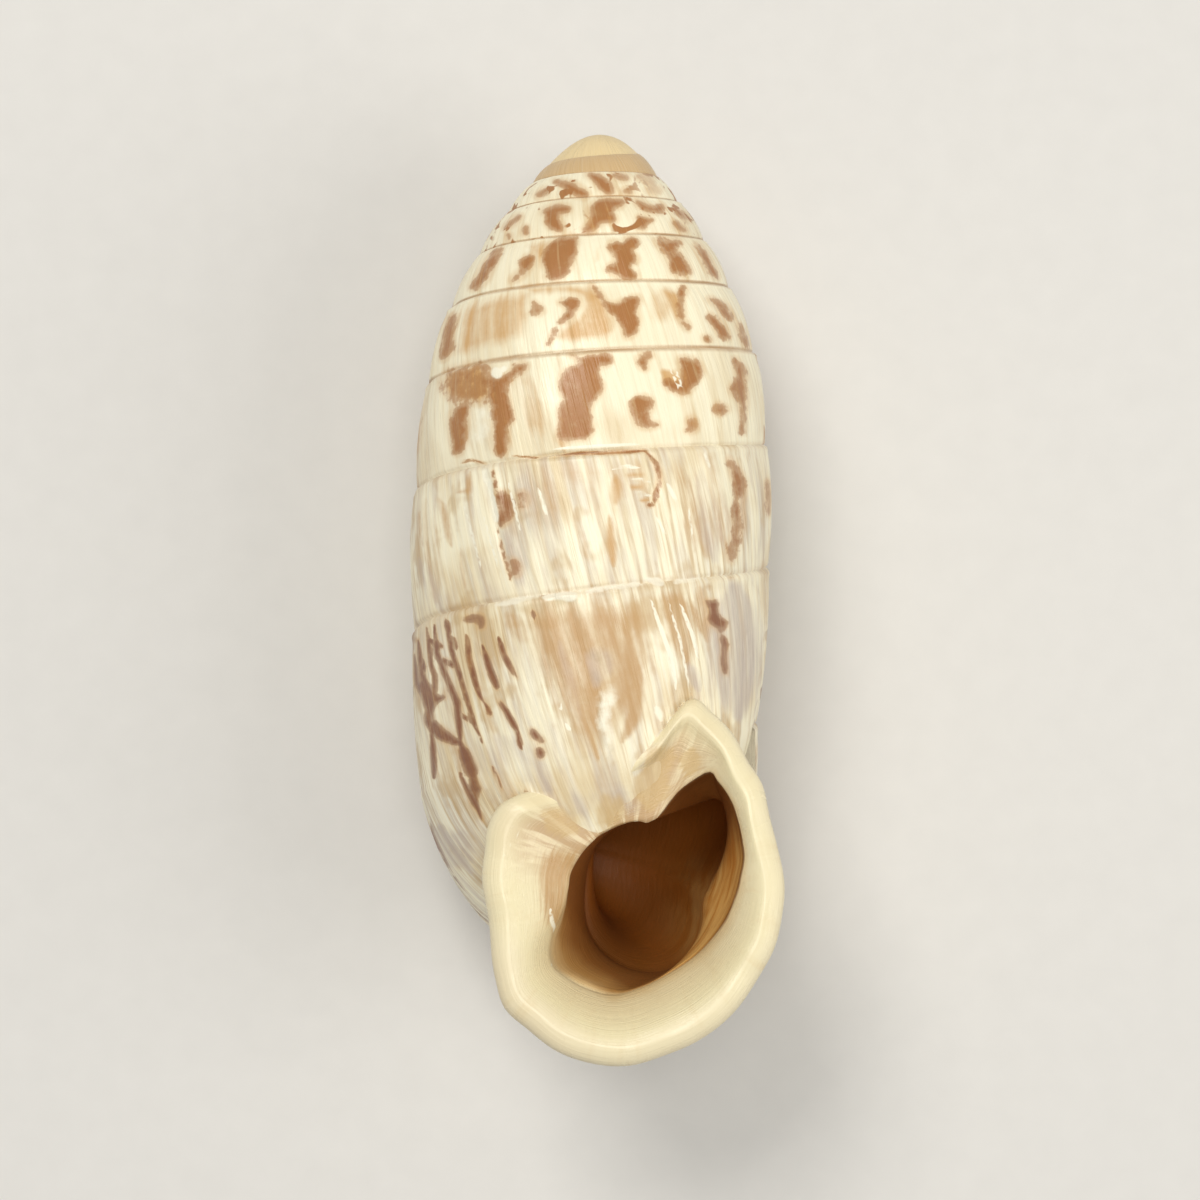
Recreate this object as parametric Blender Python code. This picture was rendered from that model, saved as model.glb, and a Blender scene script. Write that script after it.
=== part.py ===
"""Shell of the land snail Cerion reliqua: one hollow-mouthed piece lying on its back, apex toward +Y."""

import bpy
import numpy as np

MM = 0.001

# Placing of the spiral, in millimetres
AXIS_HEIGHT = 5.66
AXIS_LEAN = 0.022
LEAN_FROM_Y = -1.0
BOX_MIDDLE = (0.149, 0.239)

# The seam between whorls, by turns grown: its height up the axis and its distance from the axis
SEAM_TURN = [1.0, 1.25, 1.5, 2.0, 2.5, 3.0, 3.5, 4.0, 4.5, 5.0, 5.5, 6.0, 6.5, 7.0, 7.5, 8.0, 8.5, 9.0,
             9.28, 9.5, 9.75, 10.28]
SEAM_HEIGHT = [15.1, 14.55, 14.2, 13.9, 13.6, 13.15, 12.68, 12.05, 11.35, 10.6, 9.75, 8.7, 7.5, 5.95, 4.3,
               2.3, 0.05, -2.5, -4.0, -5.2, -6.5, -9.0]
SEAM_RADIUS = [0.0, 1.15, 1.5, 1.78, 2.0, 2.38, 2.74, 3.18, 3.62, 4.04, 4.45, 4.88, 5.24, 5.45, 5.6, 5.65,
               5.66, 5.52, 5.4, 5.34, 5.27, 5.2]
WHORL_SWELL = 0.17
SWELL_FULL_TURN = 3.5

# Spiral mesh
STEPS_PER_TURN = 36
LAST_STEP = 334
WHORL_ROWS = 6
BASE_ROWS = 7
APEX_HEIGHT = 15.1
BASE_POINT_Y = -11.7

# Mouth: directions round its middle in degrees, 0 to the right and 90 toward the apex
LIP_CENTRE = (1.55, -8.8)
LIP_DIRECTION = [-180, -172, -158, -142, -134, -124, -112, -101, -90, -80, -69, -55, -39, -23, -8, 2, 14, 27,
                 38, 47, 58, 66, 74, 80, 91, 105, 120, 135, 146, 152, 162, 172]
LIP_RADIUS = [4.66, 4.66, 4.75, 5.3, 5.64, 5.72, 5.88, 5.88, 5.76, 5.58, 5.44, 5.23, 4.95, 4.86, 4.72, 4.62,
              4.54, 4.63, 4.94, 5.08, 5.44, 5.64, 5.73, 4.7, 4.0, 3.6, 3.5, 3.9, 4.43, 4.7, 4.77, 4.66]
THROAT_DIRECTION = [-168, -155, -147, -143, -138, -130, -117, -102, -85, -65, -42, -19, 5, 11, 21, 31, 40, 50,
                    56, 61, 66, 72, 84, 97, 116, 135, 151, 167, 178]
THROAT_RADIUS = [2.07, 2.37, 2.77, 3.13, 3.52, 4.02, 4.34, 4.26, 4.12, 3.74, 3.42, 3.24, 3.35, 3.47, 3.56, 3.7,
                 3.85, 3.96, 4.02, 3.4, 2.3, 1.85, 1.75, 1.69, 1.62, 1.67, 1.74, 1.85, 1.96]
LIP_PLANE = 4.75
LIP_RISE = 0.42
LIP_ROLL = 0.65
PARIETAL_RISE = 0.2
THROAT_PLANE = 3.75
MOUTH_SEGMENTS = 48
NECK_INSET = 0.62

# Hollow of the last whorl where it faces the viewer, and how it runs back inside
TUBE_CENTRE = (3.0, -9.3)
TUBE_DIRECTION = [-180, -150, -120, -90, -60, -30, 0, 30, 45, 55, 64, 75, 90, 120, 150]
TUBE_RADIUS = [1.8, 2.1, 2.4, 2.35, 1.75, 1.45, 1.5, 2.1, 2.7, 3.1, 3.2, 2.3, 1.75, 1.35, 1.4]
TUBE_END_TURN = 8.86
TUBE_RINGS = 9
TUBE_RISE_PER_TURN = 5.4
AXIS_DIRECTION = 140.0

# Depth of the cutter for the flat spot on the back, which the shell rests on
REST_CUT_DEPTH = 10.0
REST_CUT_HALF_SIDE = 20.0

SHELL_COLOUR = (0.78, 0.68, 0.52, 1.0)


def smooth_table(where, knots, values):
    """Smooth curve through the table's values."""
    knots = np.asarray(knots, float)
    values = np.asarray(values, float)
    slope = np.gradient(values, knots)
    spot = np.clip(np.searchsorted(knots, where, side="right") - 1, 0, len(knots) - 2)
    gap = knots[spot + 1] - knots[spot]
    part = np.clip((where - knots[spot]) / gap, 0.0, 1.0)
    square = part * part
    cube = square * part
    return (
        (2 * cube - 3 * square + 1) * values[spot]
        + (cube - 2 * square + part) * gap * slope[spot]
        + (3 * square - 2 * cube) * values[spot + 1]
        + (cube - square) * gap * slope[spot + 1]
    )


def round_table(direction, knots, values):
    """Smooth closed curve through radii given by direction in degrees."""
    knots = np.asarray(knots, float)
    values = np.asarray(values, float)
    knots = np.concatenate([knots[-3:] - 360.0, knots, knots[:3] + 360.0])
    values = np.concatenate([values[-3:], values, values[:3]])
    turned = (np.asarray(direction) + 180.0) % 360.0 - 180.0
    return smooth_table(turned, knots, values)


def seam(turn):
    """Radius and height of the seam at a number of turns grown."""
    radius = smooth_table(turn, SEAM_TURN, SEAM_RADIUS)
    height = smooth_table(turn, SEAM_TURN, SEAM_HEIGHT)
    return np.where(turn < 1.0, 0.0, radius), np.where(turn < 1.0, APEX_HEIGHT, height)


def whorl_profile(turn, down):
    """Radius and height on a whorl, from its upper seam (down 0) to its lower seam (down 1)."""
    top_radius, top_height = seam(turn)
    low_radius, low_height = seam(turn + 1.0)
    swell = WHORL_SWELL * np.clip(turn / SWELL_FULL_TURN, 0.0, 1.0)
    belly = down**0.6 * (1.0 - down) ** 0.9 / 0.36
    radius = top_radius + (low_radius - top_radius) * down + swell * belly
    dome = np.clip(1.5 - turn, 0.0, 1.0)
    height = top_height + (low_height - top_height) * down ** (1.0 + dome)
    return radius, height


def base_profile(turn, along):
    """Radius and height under the last whorl, from its lower edge (along 0) to the base point (along 1)."""
    radius, height = seam(turn + 1.0)
    grown = np.clip((turn - 8.28), 0.0, 1.2)
    first = (radius - 0.35 - 0.5 * grown, height - 2.5)
    second = (2.1 + 0.5 * grown, -10.4 - 3.9 * grown)
    back = 1.0 - along
    weights = (back**3, 3 * back**2 * along, 3 * back * along**2, along**3)
    out_radius = weights[0] * radius + weights[1] * first[0] + weights[2] * second[0]
    out_height = weights[0] * height + weights[1] * first[1] + weights[2] * second[1] + weights[3] * BASE_POINT_Y
    return out_radius, out_height


def place(radius, height, turn):
    """World points for a radius, a height up the axis and a number of turns from the back."""
    angle = 2.0 * np.pi * turn
    across = radius * np.sin(angle)
    lifted = -radius * np.cos(angle)
    return lean(across, height, lifted)


def lean(across, height, lifted):
    """World points after the slight lean of the axis."""
    tilt = AXIS_LEAN * (height - LEAN_FROM_Y)
    sideways = across + tilt - BOX_MIDDLE[0]
    forward = height - AXIS_LEAN * across - BOX_MIDDLE[1]
    return np.stack([sideways, forward, lifted + AXIS_HEIGHT], axis=-1) * MM


def new_object(name, points, faces):
    """Mesh object from points and faces, linked and shaded smooth."""
    mesh = bpy.data.meshes.new(name)
    mesh.from_pydata(points.tolist(), [], faces)
    mesh.validate()
    mesh.shade_smooth()
    made = bpy.data.objects.new(name, mesh)
    bpy.context.scene.collection.objects.link(made)
    return made


def spiral_points():
    """Points of the spiral, one row for each step of growth, and the number of columns in a row."""
    rows = []
    for step in range(LAST_STEP + 1):
        turn = step / STEPS_PER_TURN
        down = np.linspace(0.0, 1.0, WHORL_ROWS + 1)
        radius, height = whorl_profile(turn, down)
        along = np.linspace(0.0, 1.0, BASE_ROWS + 1)[1:]
        base_radius, base_height = base_profile(turn, along)
        rows.append(place(np.concatenate([radius, base_radius]), np.concatenate([height, base_height]), turn))
    return np.array(rows)


def build_spiral():
    """Closed spiral body, from the apex to just past the right side of the last whorl."""
    points = spiral_points()
    columns = points.shape[1]
    open_from = LAST_STEP - STEPS_PER_TURN
    index = {}
    kept = [points[0, 0]]
    apex = 0

    def vertex(step, column):
        """Number of the welded vertex at a step and column."""
        if column == WHORL_ROWS and step <= open_from:
            return vertex(step + STEPS_PER_TURN, 0)
        if (step <= STEPS_PER_TURN and column == 0) or step == 0:
            return apex
        key = (step, column) if column < columns - 1 else "base"
        if key not in index:
            index[key] = len(kept)
            kept.append(points[step, column])
        return index[key]

    faces = []
    for step in range(LAST_STEP):
        last_column = columns - 1 if step >= open_from else WHORL_ROWS
        for column in range(last_column):
            corners = [vertex(step, column), vertex(step + 1, column), vertex(step + 1, column + 1),
                       vertex(step, column + 1)]
            corners = list(dict.fromkeys(corners))
            if len(corners) > 2:
                faces.append(corners)
    outer = [vertex(LAST_STEP, column) for column in range(columns)]
    inner = [vertex(open_from, column) for column in range(WHORL_ROWS, columns)]
    faces.append(inner[1:-1] + outer[::-1])
    return new_object("spiral_body", np.array(kept), faces)


def outer_ring(turn, directions):
    """Ring round the last whorl in its own half-plane: distances by direction about a middle point."""
    down = np.linspace(0.0, 1.0, 40)
    radius, height = whorl_profile(turn, down)
    base_radius, base_height = base_profile(turn, down)
    across = np.concatenate([radius, base_radius]) - TUBE_CENTRE[0]
    along = np.concatenate([height, base_height]) - tube_centre_height(turn)
    found = np.degrees(np.arctan2(along, across))
    found = np.where(found > 120.0, found - 360.0, found)
    distance = np.hypot(across, along)
    order = np.argsort(found)
    return found[order], distance[order]


def tube_centre_height(turn):
    """Height of the middle of the last whorl's tube."""
    return TUBE_CENTRE[1] + TUBE_RISE_PER_TURN * (9.25 - turn)


def ring_faces(rings, segments):
    """Faces of a closed tube of rings, capped at both ends."""
    faces = []
    for ring in range(rings - 1):
        for spot in range(segments):
            after = (spot + 1) % segments
            faces.append([ring * segments + spot, ring * segments + after, (ring + 1) * segments + after,
                          (ring + 1) * segments + spot])
    faces.append(list(range(segments))[::-1])
    faces.append([(rings - 1) * segments + spot for spot in range(segments)])
    return faces


def neck_radius(turn, directions, proud):
    """Outside of the tube by direction: proud of the last whorl outside, buried on the inner side."""
    found, distance = outer_ring(turn, directions)
    turned = np.where(directions > 120.0, directions - 360.0, directions)
    outside = np.interp(turned, found, distance) + proud
    buried = round_table(directions, TUBE_DIRECTION, TUBE_RADIUS) + 0.3
    from_axis = np.abs((directions - AXIS_DIRECTION + 180.0) % 360.0 - 180.0)
    outward = np.clip((from_axis - 62.0) / 25.0, 0.0, 1.0)
    return buried + (outside - buried) * outward


def leaving_share(lifted, directions):
    """How far the tube has turned into the lip at a level: slowly along the seam, sooner elsewhere."""
    curl = 1.0 - np.sqrt(1.0 - (4.9 / 5.75) ** 2)
    along_seam = (1.0 - np.sqrt(1.0 - (lifted / 5.75) ** 2)) / curl
    elsewhere = np.sin(0.5 * np.pi * lifted / 3.8)
    near_seam = np.clip(1.6 - np.abs(directions - 72.0) / 40.0, 0.0, 1.0)
    return elsewhere + (along_seam - elsewhere) * near_seam


def build_lip():
    """The last quarter whorl: a tube that leaves the spiral and opens in the rolled lip."""
    directions = np.linspace(-180.0, 180.0, MOUTH_SEGMENTS, endpoint=False)
    cosine = np.cos(np.radians(directions))
    sine = np.sin(np.radians(directions))
    rings = []
    for turn, proud in ((9.11, -0.35), (9.17, -0.12), (9.21, 0.0)):
        reach = neck_radius(turn, directions, proud)
        rings.append(place(TUBE_CENTRE[0] + reach * cosine, tube_centre_height(turn) + reach * sine, turn))
    start = neck_radius(9.25, directions, 0.04)
    lip = round_table(directions, LIP_DIRECTION, LIP_RADIUS)
    throat = round_table(directions, THROAT_DIRECTION, THROAT_RADIUS)
    parietal = np.clip(1.0 - np.abs(directions - 112.0) / 38.0, 0.0, 1.0) ** 0.5
    top = LIP_RISE + PARIETAL_RISE * parietal
    flared = lip - NECK_INSET
    for lifted in (0.0, 1.0, 2.0, 3.0, 3.8):
        part = leaving_share(lifted, directions)
        across = TUBE_CENTRE[0] + start * cosine
        across += (LIP_CENTRE[0] + flared * cosine - across) * part
        along = TUBE_CENTRE[1] + start * sine
        along += (LIP_CENTRE[1] + flared * sine - along) * part
        rings.append(lean(across, along, np.full_like(across, lifted)))
    outline = ((-0.42, -0.5), (-0.12, -0.25), (0.0, 0.0))
    for out, lifted in outline:
        rings.append(lip_ring(lip + out, np.full_like(lip, LIP_PLANE + lifted), cosine, sine))
    for swing in (35.0, 65.0, 90.0):
        out = -LIP_ROLL * (1.0 - np.cos(np.radians(swing)))
        rings.append(lip_ring(lip + out, LIP_PLANE + top * np.sin(np.radians(swing)), cosine, sine))
    ridge = lip - LIP_ROLL
    for part in (0.25, 0.5, 0.75, 0.92):
        out = ridge + (throat - ridge) * part
        depth = (top + LIP_PLANE - THROAT_PLANE) * part**1.7
        rings.append(lip_ring(out, LIP_PLANE + top - depth, cosine, sine))
    rings.append(lip_ring(throat, np.full_like(lip, THROAT_PLANE), cosine, sine))
    rings.append(lip_ring(throat - 0.02, np.full_like(lip, THROAT_PLANE - 0.35), cosine, sine))
    return new_object("lip", np.concatenate(rings), ring_faces(len(rings), MOUTH_SEGMENTS))


def lip_ring(reach, lifted, cosine, sine):
    """Ring about the middle of the mouth."""
    return lean(LIP_CENTRE[0] + reach * cosine, LIP_CENTRE[1] + reach * sine, lifted)


def build_hollow():
    """Cutter for the inside of the mouth and of the last whorl behind it."""
    directions = np.linspace(-180.0, 180.0, MOUTH_SEGMENTS, endpoint=False)
    cosine = np.cos(np.radians(directions))
    sine = np.sin(np.radians(directions))
    throat = round_table(directions, THROAT_DIRECTION, THROAT_RADIUS)
    tube = round_table(directions, TUBE_DIRECTION, TUBE_RADIUS)
    rings = []
    for out, lifted in ((-0.12, 0.3), (-0.04, 0.0), (0.01, -0.4)):
        rings.append(lip_ring(throat + out, np.full_like(tube, THROAT_PLANE + lifted), cosine, sine))
    for lifted in (2.7, 1.8, 0.9):
        part = 1.0 - lifted / THROAT_PLANE
        part = part * part * (3.0 - 2.0 * part)
        across = (LIP_CENTRE[0] + throat * cosine) * (1.0 - part) + (TUBE_CENTRE[0] + tube * cosine) * part
        along = (LIP_CENTRE[1] + throat * sine) * (1.0 - part) + (TUBE_CENTRE[1] + tube * sine) * part
        rings.append(lean(across, along, np.full_like(across, lifted)))
    for part in np.linspace(0.0, 1.0, TUBE_RINGS):
        turn = 9.25 + (TUBE_END_TURN - 9.25) * part
        reach = tube * (1.0 - part**2.2) * (1.0 - 0.15 * part) + 0.12
        rings.append(place(TUBE_CENTRE[0] + reach * cosine, tube_centre_height(turn) + reach * sine, turn))
    faces = [face[::-1] for face in ring_faces(len(rings), MOUTH_SEGMENTS)]
    return new_object("mouth_hollow", np.concatenate(rings), faces)


def build_rest_cutter():
    """Cutter that trims the flat spot on the back."""
    half = REST_CUT_HALF_SIDE * MM
    low = -REST_CUT_DEPTH * MM
    points = np.array([(x, y, z) for x in (-half, half) for y in (-half, half) for z in (low, 0.0)])
    faces = [[0, 1, 3, 2], [4, 6, 7, 5], [0, 4, 5, 1], [2, 3, 7, 6], [0, 2, 6, 4], [1, 5, 7, 3]]
    return new_object("rest_cutter", points, faces)


def combine(target, other, operation):
    """Adds or cuts one solid with another."""
    modifier = target.modifiers.new(other.name, "BOOLEAN")
    modifier.operation = operation
    modifier.solver = "EXACT"
    modifier.object = other
    other.hide_render = True
    other.display_type = "WIRE"


def shell_material():
    """Pale limy shell."""
    material = bpy.data.materials.new("shell_lime")
    material.use_nodes = True
    shader = material.node_tree.nodes["Principled BSDF"]
    shader.inputs["Base Color"].default_value = SHELL_COLOUR
    shader.inputs["Roughness"].default_value = 0.45
    return material


def main():
    """Builds the shell."""
    for old in list(bpy.data.objects):
        bpy.data.objects.remove(old)
    body = build_spiral()
    body.name = "shell"
    body.data.materials.append(shell_material())
    combine(body, build_lip(), "UNION")
    combine(body, build_hollow(), "DIFFERENCE")
    combine(body, build_rest_cutter(), "DIFFERENCE")


main()
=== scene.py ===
"""Visual model of a Cerion reliqua land snail shell that lies on its back with its mouth up."""

import logging
from dataclasses import dataclass, field
from enum import Enum

import bpy
import numpy as np
from mathutils import Matrix, Vector

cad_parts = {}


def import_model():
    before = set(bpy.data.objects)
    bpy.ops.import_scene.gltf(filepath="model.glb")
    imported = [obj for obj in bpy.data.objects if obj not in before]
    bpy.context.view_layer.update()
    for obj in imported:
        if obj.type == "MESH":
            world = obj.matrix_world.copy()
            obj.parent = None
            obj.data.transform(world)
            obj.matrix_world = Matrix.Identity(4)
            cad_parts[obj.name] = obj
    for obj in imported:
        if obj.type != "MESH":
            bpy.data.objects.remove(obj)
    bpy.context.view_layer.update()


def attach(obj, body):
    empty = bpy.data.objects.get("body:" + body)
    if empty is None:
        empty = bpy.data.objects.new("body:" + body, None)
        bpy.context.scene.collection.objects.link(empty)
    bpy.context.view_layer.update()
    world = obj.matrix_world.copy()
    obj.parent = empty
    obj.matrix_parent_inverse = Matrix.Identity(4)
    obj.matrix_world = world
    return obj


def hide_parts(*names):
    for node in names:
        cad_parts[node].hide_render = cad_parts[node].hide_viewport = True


LOG = logging.getLogger("shell")
MM = 0.001
FINE_LINE = 4.0
MOUTH_TURN = 9.25
Table = tuple | np.ndarray
Socket = bpy.types.NodeSocket
Value = bpy.types.NodeSocket | float | tuple


class Layer(Enum):
    """Names of the UV maps and attributes that carry a point's place on the shell to the finish."""

    GROWTH = "growth"
    PLACE = "place"
    BROWN = "brown"
    OCHRE_AND_SHADE = "ochre"
    CHALK_AND_HIGHLIGHT = "chalk_and_highlight"
    GREY = "grey"
    CALLUS = "callus"
    FRONT = "front"


def smooth_table(where: np.ndarray, knots: Table, values: Table) -> np.ndarray:
    """Smooth curve through a table.

    Args:
        where: Places to read the curve at.
        knots: Places of the table's values, rising.
        values: The table's values.

    Returns:
        The curve's value at each place, by cubics that share their slopes at the knots.
    """
    knots = np.asarray(knots, float)
    values = np.asarray(values, float)
    slope = np.gradient(values, knots)
    spot = np.clip(np.searchsorted(knots, where, side="right") - 1, 0, len(knots) - 2)
    gap = knots[spot + 1] - knots[spot]
    part = np.clip((where - knots[spot]) / gap, 0.0, 1.0)
    square = part * part
    cube = square * part
    return (
        (2 * cube - 3 * square + 1) * values[spot]
        + (cube - 2 * square + part) * gap * slope[spot]
        + (3 * square - 2 * cube) * values[spot + 1]
        + (cube - square) * gap * slope[spot + 1]
    )


def round_table(direction: np.ndarray, knots: Table, values: Table) -> np.ndarray:
    """Smooth closed curve through values given by direction in degrees.

    Args:
        direction: Directions to read the curve at.
        knots: Directions of the table's values, rising from -180 to 180.
        values: The table's values.

    Returns:
        The curve's value in each direction: the table is carried on past both ends, a turn away.
    """
    knots = np.asarray(knots, float)
    values = np.asarray(values, float)
    knots = np.concatenate([knots[-3:] - 360.0, knots, knots[:3] + 360.0])
    values = np.concatenate([values[-3:], values, values[:3]])
    turned = (np.asarray(direction) + 180.0) % 360.0 - 180.0
    return smooth_table(turned, knots, values)


def ease(value: np.ndarray, low: float, high: float) -> np.ndarray:
    """Smooth step from 0 at low to 1 at high."""
    part = np.clip((value - low) / (high - low), 0.0, 1.0)
    return part * part * (3.0 - 2.0 * part)


@dataclass(frozen=True)
class Ripple:
    """A smooth uneven wave along one coordinate, from a seeded table of heights.

    Attributes:
        seed: Seed of the table.
        count: Length of the table, after which the wave repeats.
    """

    seed: int
    count: int = 4096

    def at(self, where: np.ndarray) -> np.ndarray:
        """Height from -1 to 1: the table's values joined by smooth steps.

        Args:
            where: Places along the wave, a table's value to each whole number.

        Returns:
            The height at each place.
        """
        heights = np.random.default_rng(self.seed).uniform(-1.0, 1.0, self.count)
        low = np.floor(where).astype(int)
        part = where - low
        part = part * part * (3.0 - 2.0 * part)
        return heights[low % self.count] * (1.0 - part) + heights[(low + 1) % self.count] * part


@dataclass(frozen=True)
class Spiral:
    """The coiled wall, in millimetres, with the axis along y and the apex toward +y.

    Attributes:
        seam_turn: Turns grown at the table's points.
        seam_height: Height of the seam between whorls there.
        seam_radius: Distance of the seam from the axis there.
        swell: How far a whorl bellies out between its seams.
        swell_full_turn: Turns grown when the swell is complete.
        belly_powers: Powers of the shares from the seam above and below, whose product is the belly.
        belly_peak: Greatest value of that product.
        apex_height: Height of the apex.
        base_height: Height of the point where the base closes.
        base_turn: Turns grown where the base starts to grow out.
        base_shoulder: How far inside its edge, and how far under it, the base's curve is drawn at first.
        base_waist: Distance from the axis, and height, that the base's curve is drawn toward.
        base_growth: Change to a turn of the shoulder's and the waist's distance, and of the waist's height.
        axis_height: Level of the axis above the floor.
        axis_lean: Sideways drift of the axis per millimetre of height.
        lean_from: Height at which the lean starts.
        box_middle: Middle of the whole shell, moved to the origin.
        front_turn: Turns grown where the last whorl faces front, above the mouth.
    """

    seam_turn: tuple = (1.0, 1.25, 1.5, 2.0, 2.5, 3.0, 3.5, 4.0, 4.5, 5.0, 5.5, 6.0, 6.5, 7.0, 7.5, 8.0,
                        8.5, 9.0, 9.28, 9.5, 9.75, 10.28)
    seam_height: tuple = (15.1, 14.55, 14.2, 13.9, 13.6, 13.15, 12.68, 12.05, 11.35, 10.6, 9.75, 8.7, 7.5,
                          5.95, 4.3, 2.3, 0.05, -2.5, -4.0, -5.2, -6.5, -9.0)
    seam_radius: tuple = (0.0, 1.15, 1.5, 1.78, 2.0, 2.38, 2.74, 3.18, 3.62, 4.04, 4.45, 4.88, 5.24, 5.45,
                          5.6, 5.65, 5.66, 5.52, 5.4, 5.34, 5.27, 5.2)
    swell: float = 0.17
    swell_full_turn: float = 3.5
    belly_powers: tuple = (0.6, 0.9)
    belly_peak: float = 0.36
    apex_height: float = 15.1
    base_height: float = -11.7
    base_turn: float = 8.28
    base_shoulder: tuple = (0.35, 2.5)
    base_waist: tuple = (2.1, -10.4)
    base_growth: tuple = (0.5, 3.9)
    axis_height: float = 5.66
    axis_lean: float = 0.022
    lean_from: float = -1.0
    box_middle: tuple = (0.149, 0.239)
    front_turn: float = 8.47

    def seam(self, turn: np.ndarray) -> tuple[np.ndarray, np.ndarray]:
        """Radius and height of the seam after a number of turns.

        Args:
            turn: Turns grown.

        Returns:
            Radii and heights.
        """
        radius = smooth_table(turn, self.seam_turn, self.seam_radius)
        height = smooth_table(turn, self.seam_turn, self.seam_height)
        return np.where(turn < 1.0, 0.0, radius), np.where(turn < 1.0, self.apex_height, height)

    def whorl(self, turn: np.ndarray, down: np.ndarray) -> tuple[np.ndarray, np.ndarray]:
        """Radius and height on a whorl: the way from seam to seam, with the belly's swell added.

        Args:
            turn: Turns grown.
            down: Share of the way down to the lower seam.

        Returns:
            Radii and heights.
        """
        top_radius, top_height = self.seam(turn)
        low_radius, low_height = self.seam(turn + 1.0)
        swell = self.swell * np.clip(turn / self.swell_full_turn, 0.0, 1.0)
        belly = down ** self.belly_powers[0] * (1.0 - down) ** self.belly_powers[1] / self.belly_peak
        dome = np.clip(1.5 - turn, 0.0, 1.0)
        radius = top_radius + (low_radius - top_radius) * down + swell * belly
        return radius, top_height + (low_height - top_height) * down ** (1.0 + dome)

    def base(self, turn: np.ndarray, along: np.ndarray) -> tuple[np.ndarray, np.ndarray]:
        """Radius and height under the last whorl: a cubic from its lower edge to the point where it closes.

        Args:
            turn: Turns grown.
            along: Share of the way along the cubic.

        Returns:
            Radii and heights.
        """
        radius, height = self.seam(turn + 1.0)
        grown = np.clip((turn - self.base_turn), 0.0, 1.2)
        back = 1.0 - along
        weights = (back**3, 3 * back**2 * along, 3 * back * along**2, along**3)
        widening = self.base_growth[0] * grown
        out_radius = weights[0] * radius + weights[1] * (radius - self.base_shoulder[0] - widening)
        out_radius = out_radius + weights[2] * (self.base_waist[0] + widening)
        waist_height = self.base_waist[1] - self.base_growth[1] * grown
        out_height = weights[0] * height + weights[1] * (height - self.base_shoulder[1])
        out_height = out_height + weights[2] * waist_height + weights[3] * self.base_height
        return out_radius, out_height

    def front_level(self, across: np.ndarray, height: np.ndarray) -> np.ndarray:
        """Level of the last whorl's front above the axis: the root of radius squared less across squared.

        Args:
            across: Distances to the right of the axis.
            height: Heights along the axis.

        Returns:
            Levels.
        """
        down = np.linspace(0.0, 1.0, 200)
        radius, level = self.whorl(self.front_turn, down)
        base_radius, base_level = self.base(self.front_turn, down)
        heights = np.concatenate([level, base_level])
        order = np.argsort(heights)
        found = np.interp(height, heights[order], np.concatenate([radius, base_radius])[order])
        return np.sqrt(np.maximum(found**2 - across**2, 0.25))

    def place(self, radius: np.ndarray, height: np.ndarray, turn: np.ndarray) -> np.ndarray:
        """Points in world millimetres for a radius, a height and a number of turns from the back."""
        angle = 2.0 * np.pi * turn
        return self.lean(radius * np.sin(angle), height, -radius * np.cos(angle))

    def lean(self, across: np.ndarray, height: np.ndarray, lifted: np.ndarray) -> np.ndarray:
        """World millimetres of points given about the upright axis.

        Args:
            across: Distances to the right of the axis.
            height: Heights along the axis.
            lifted: Distances in front of the axis.

        Returns:
            World points.
        """
        sideways = across + self.axis_lean * (height - self.lean_from) - self.box_middle[0]
        forward = height - self.axis_lean * across - self.box_middle[1]
        return np.stack([sideways, forward, lifted + self.axis_height], axis=-1)


@dataclass(frozen=True)
class Viewpoint:
    """The camera, in world millimetres, and the photograph's pixels as it sees them.

    Attributes:
        eye: Place of the camera.
        aim: Point in the middle of the picture.
        scale: Pixels to a millimetre at the aim.
        middle: Pixel column and row of the middle of the picture.
    """

    eye: tuple = (-0.149, -6.589, 130.66)
    aim: tuple = (0.201, -0.239, 5.66)
    scale: float = 31.0
    middle: tuple = (600.0, 600.0)

    def axes(self) -> tuple[np.ndarray, np.ndarray, np.ndarray, float]:
        """Forward, right and up directions, and the distance to the aim."""
        forward = np.subtract(self.aim, self.eye)
        reach = float(np.linalg.norm(forward))
        forward = forward / reach
        right = np.cross(forward, (0.0, 1.0, 0.0))
        right = right / np.linalg.norm(right)
        return forward, right, np.cross(right, forward), reach

    def pixels(self, points: np.ndarray) -> np.ndarray:
        """Pixel columns and rows of world points in millimetres.

        Args:
            points: World points.

        Returns:
            A column and a row for each point.
        """
        forward, right, upward, reach = self.axes()
        away = points - np.asarray(self.eye)
        focal = self.scale * reach / (away @ forward)
        columns = self.middle[0] + focal * (away @ right)
        rows = self.middle[1] - focal * (away @ upward)
        return np.stack([columns, rows], axis=-1)

    def add_camera(self) -> None:
        """Puts in the camera."""
        forward, right, upward, reach = self.axes()
        lens = bpy.data.cameras.new("camera")
        lens.sensor_width = 36.0
        lens.lens = 36.0 * self.scale * reach / (2.0 * self.middle[0])
        lens.clip_start = 0.005
        lens.clip_end = 5.0
        camera = bpy.data.objects.new("camera", lens)
        camera.location = Vector(self.eye) * MM
        camera.rotation_euler = Matrix((right, upward, -forward)).transposed().to_euler()
        bpy.context.scene.collection.objects.link(camera)
        bpy.context.scene.camera = camera


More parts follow.
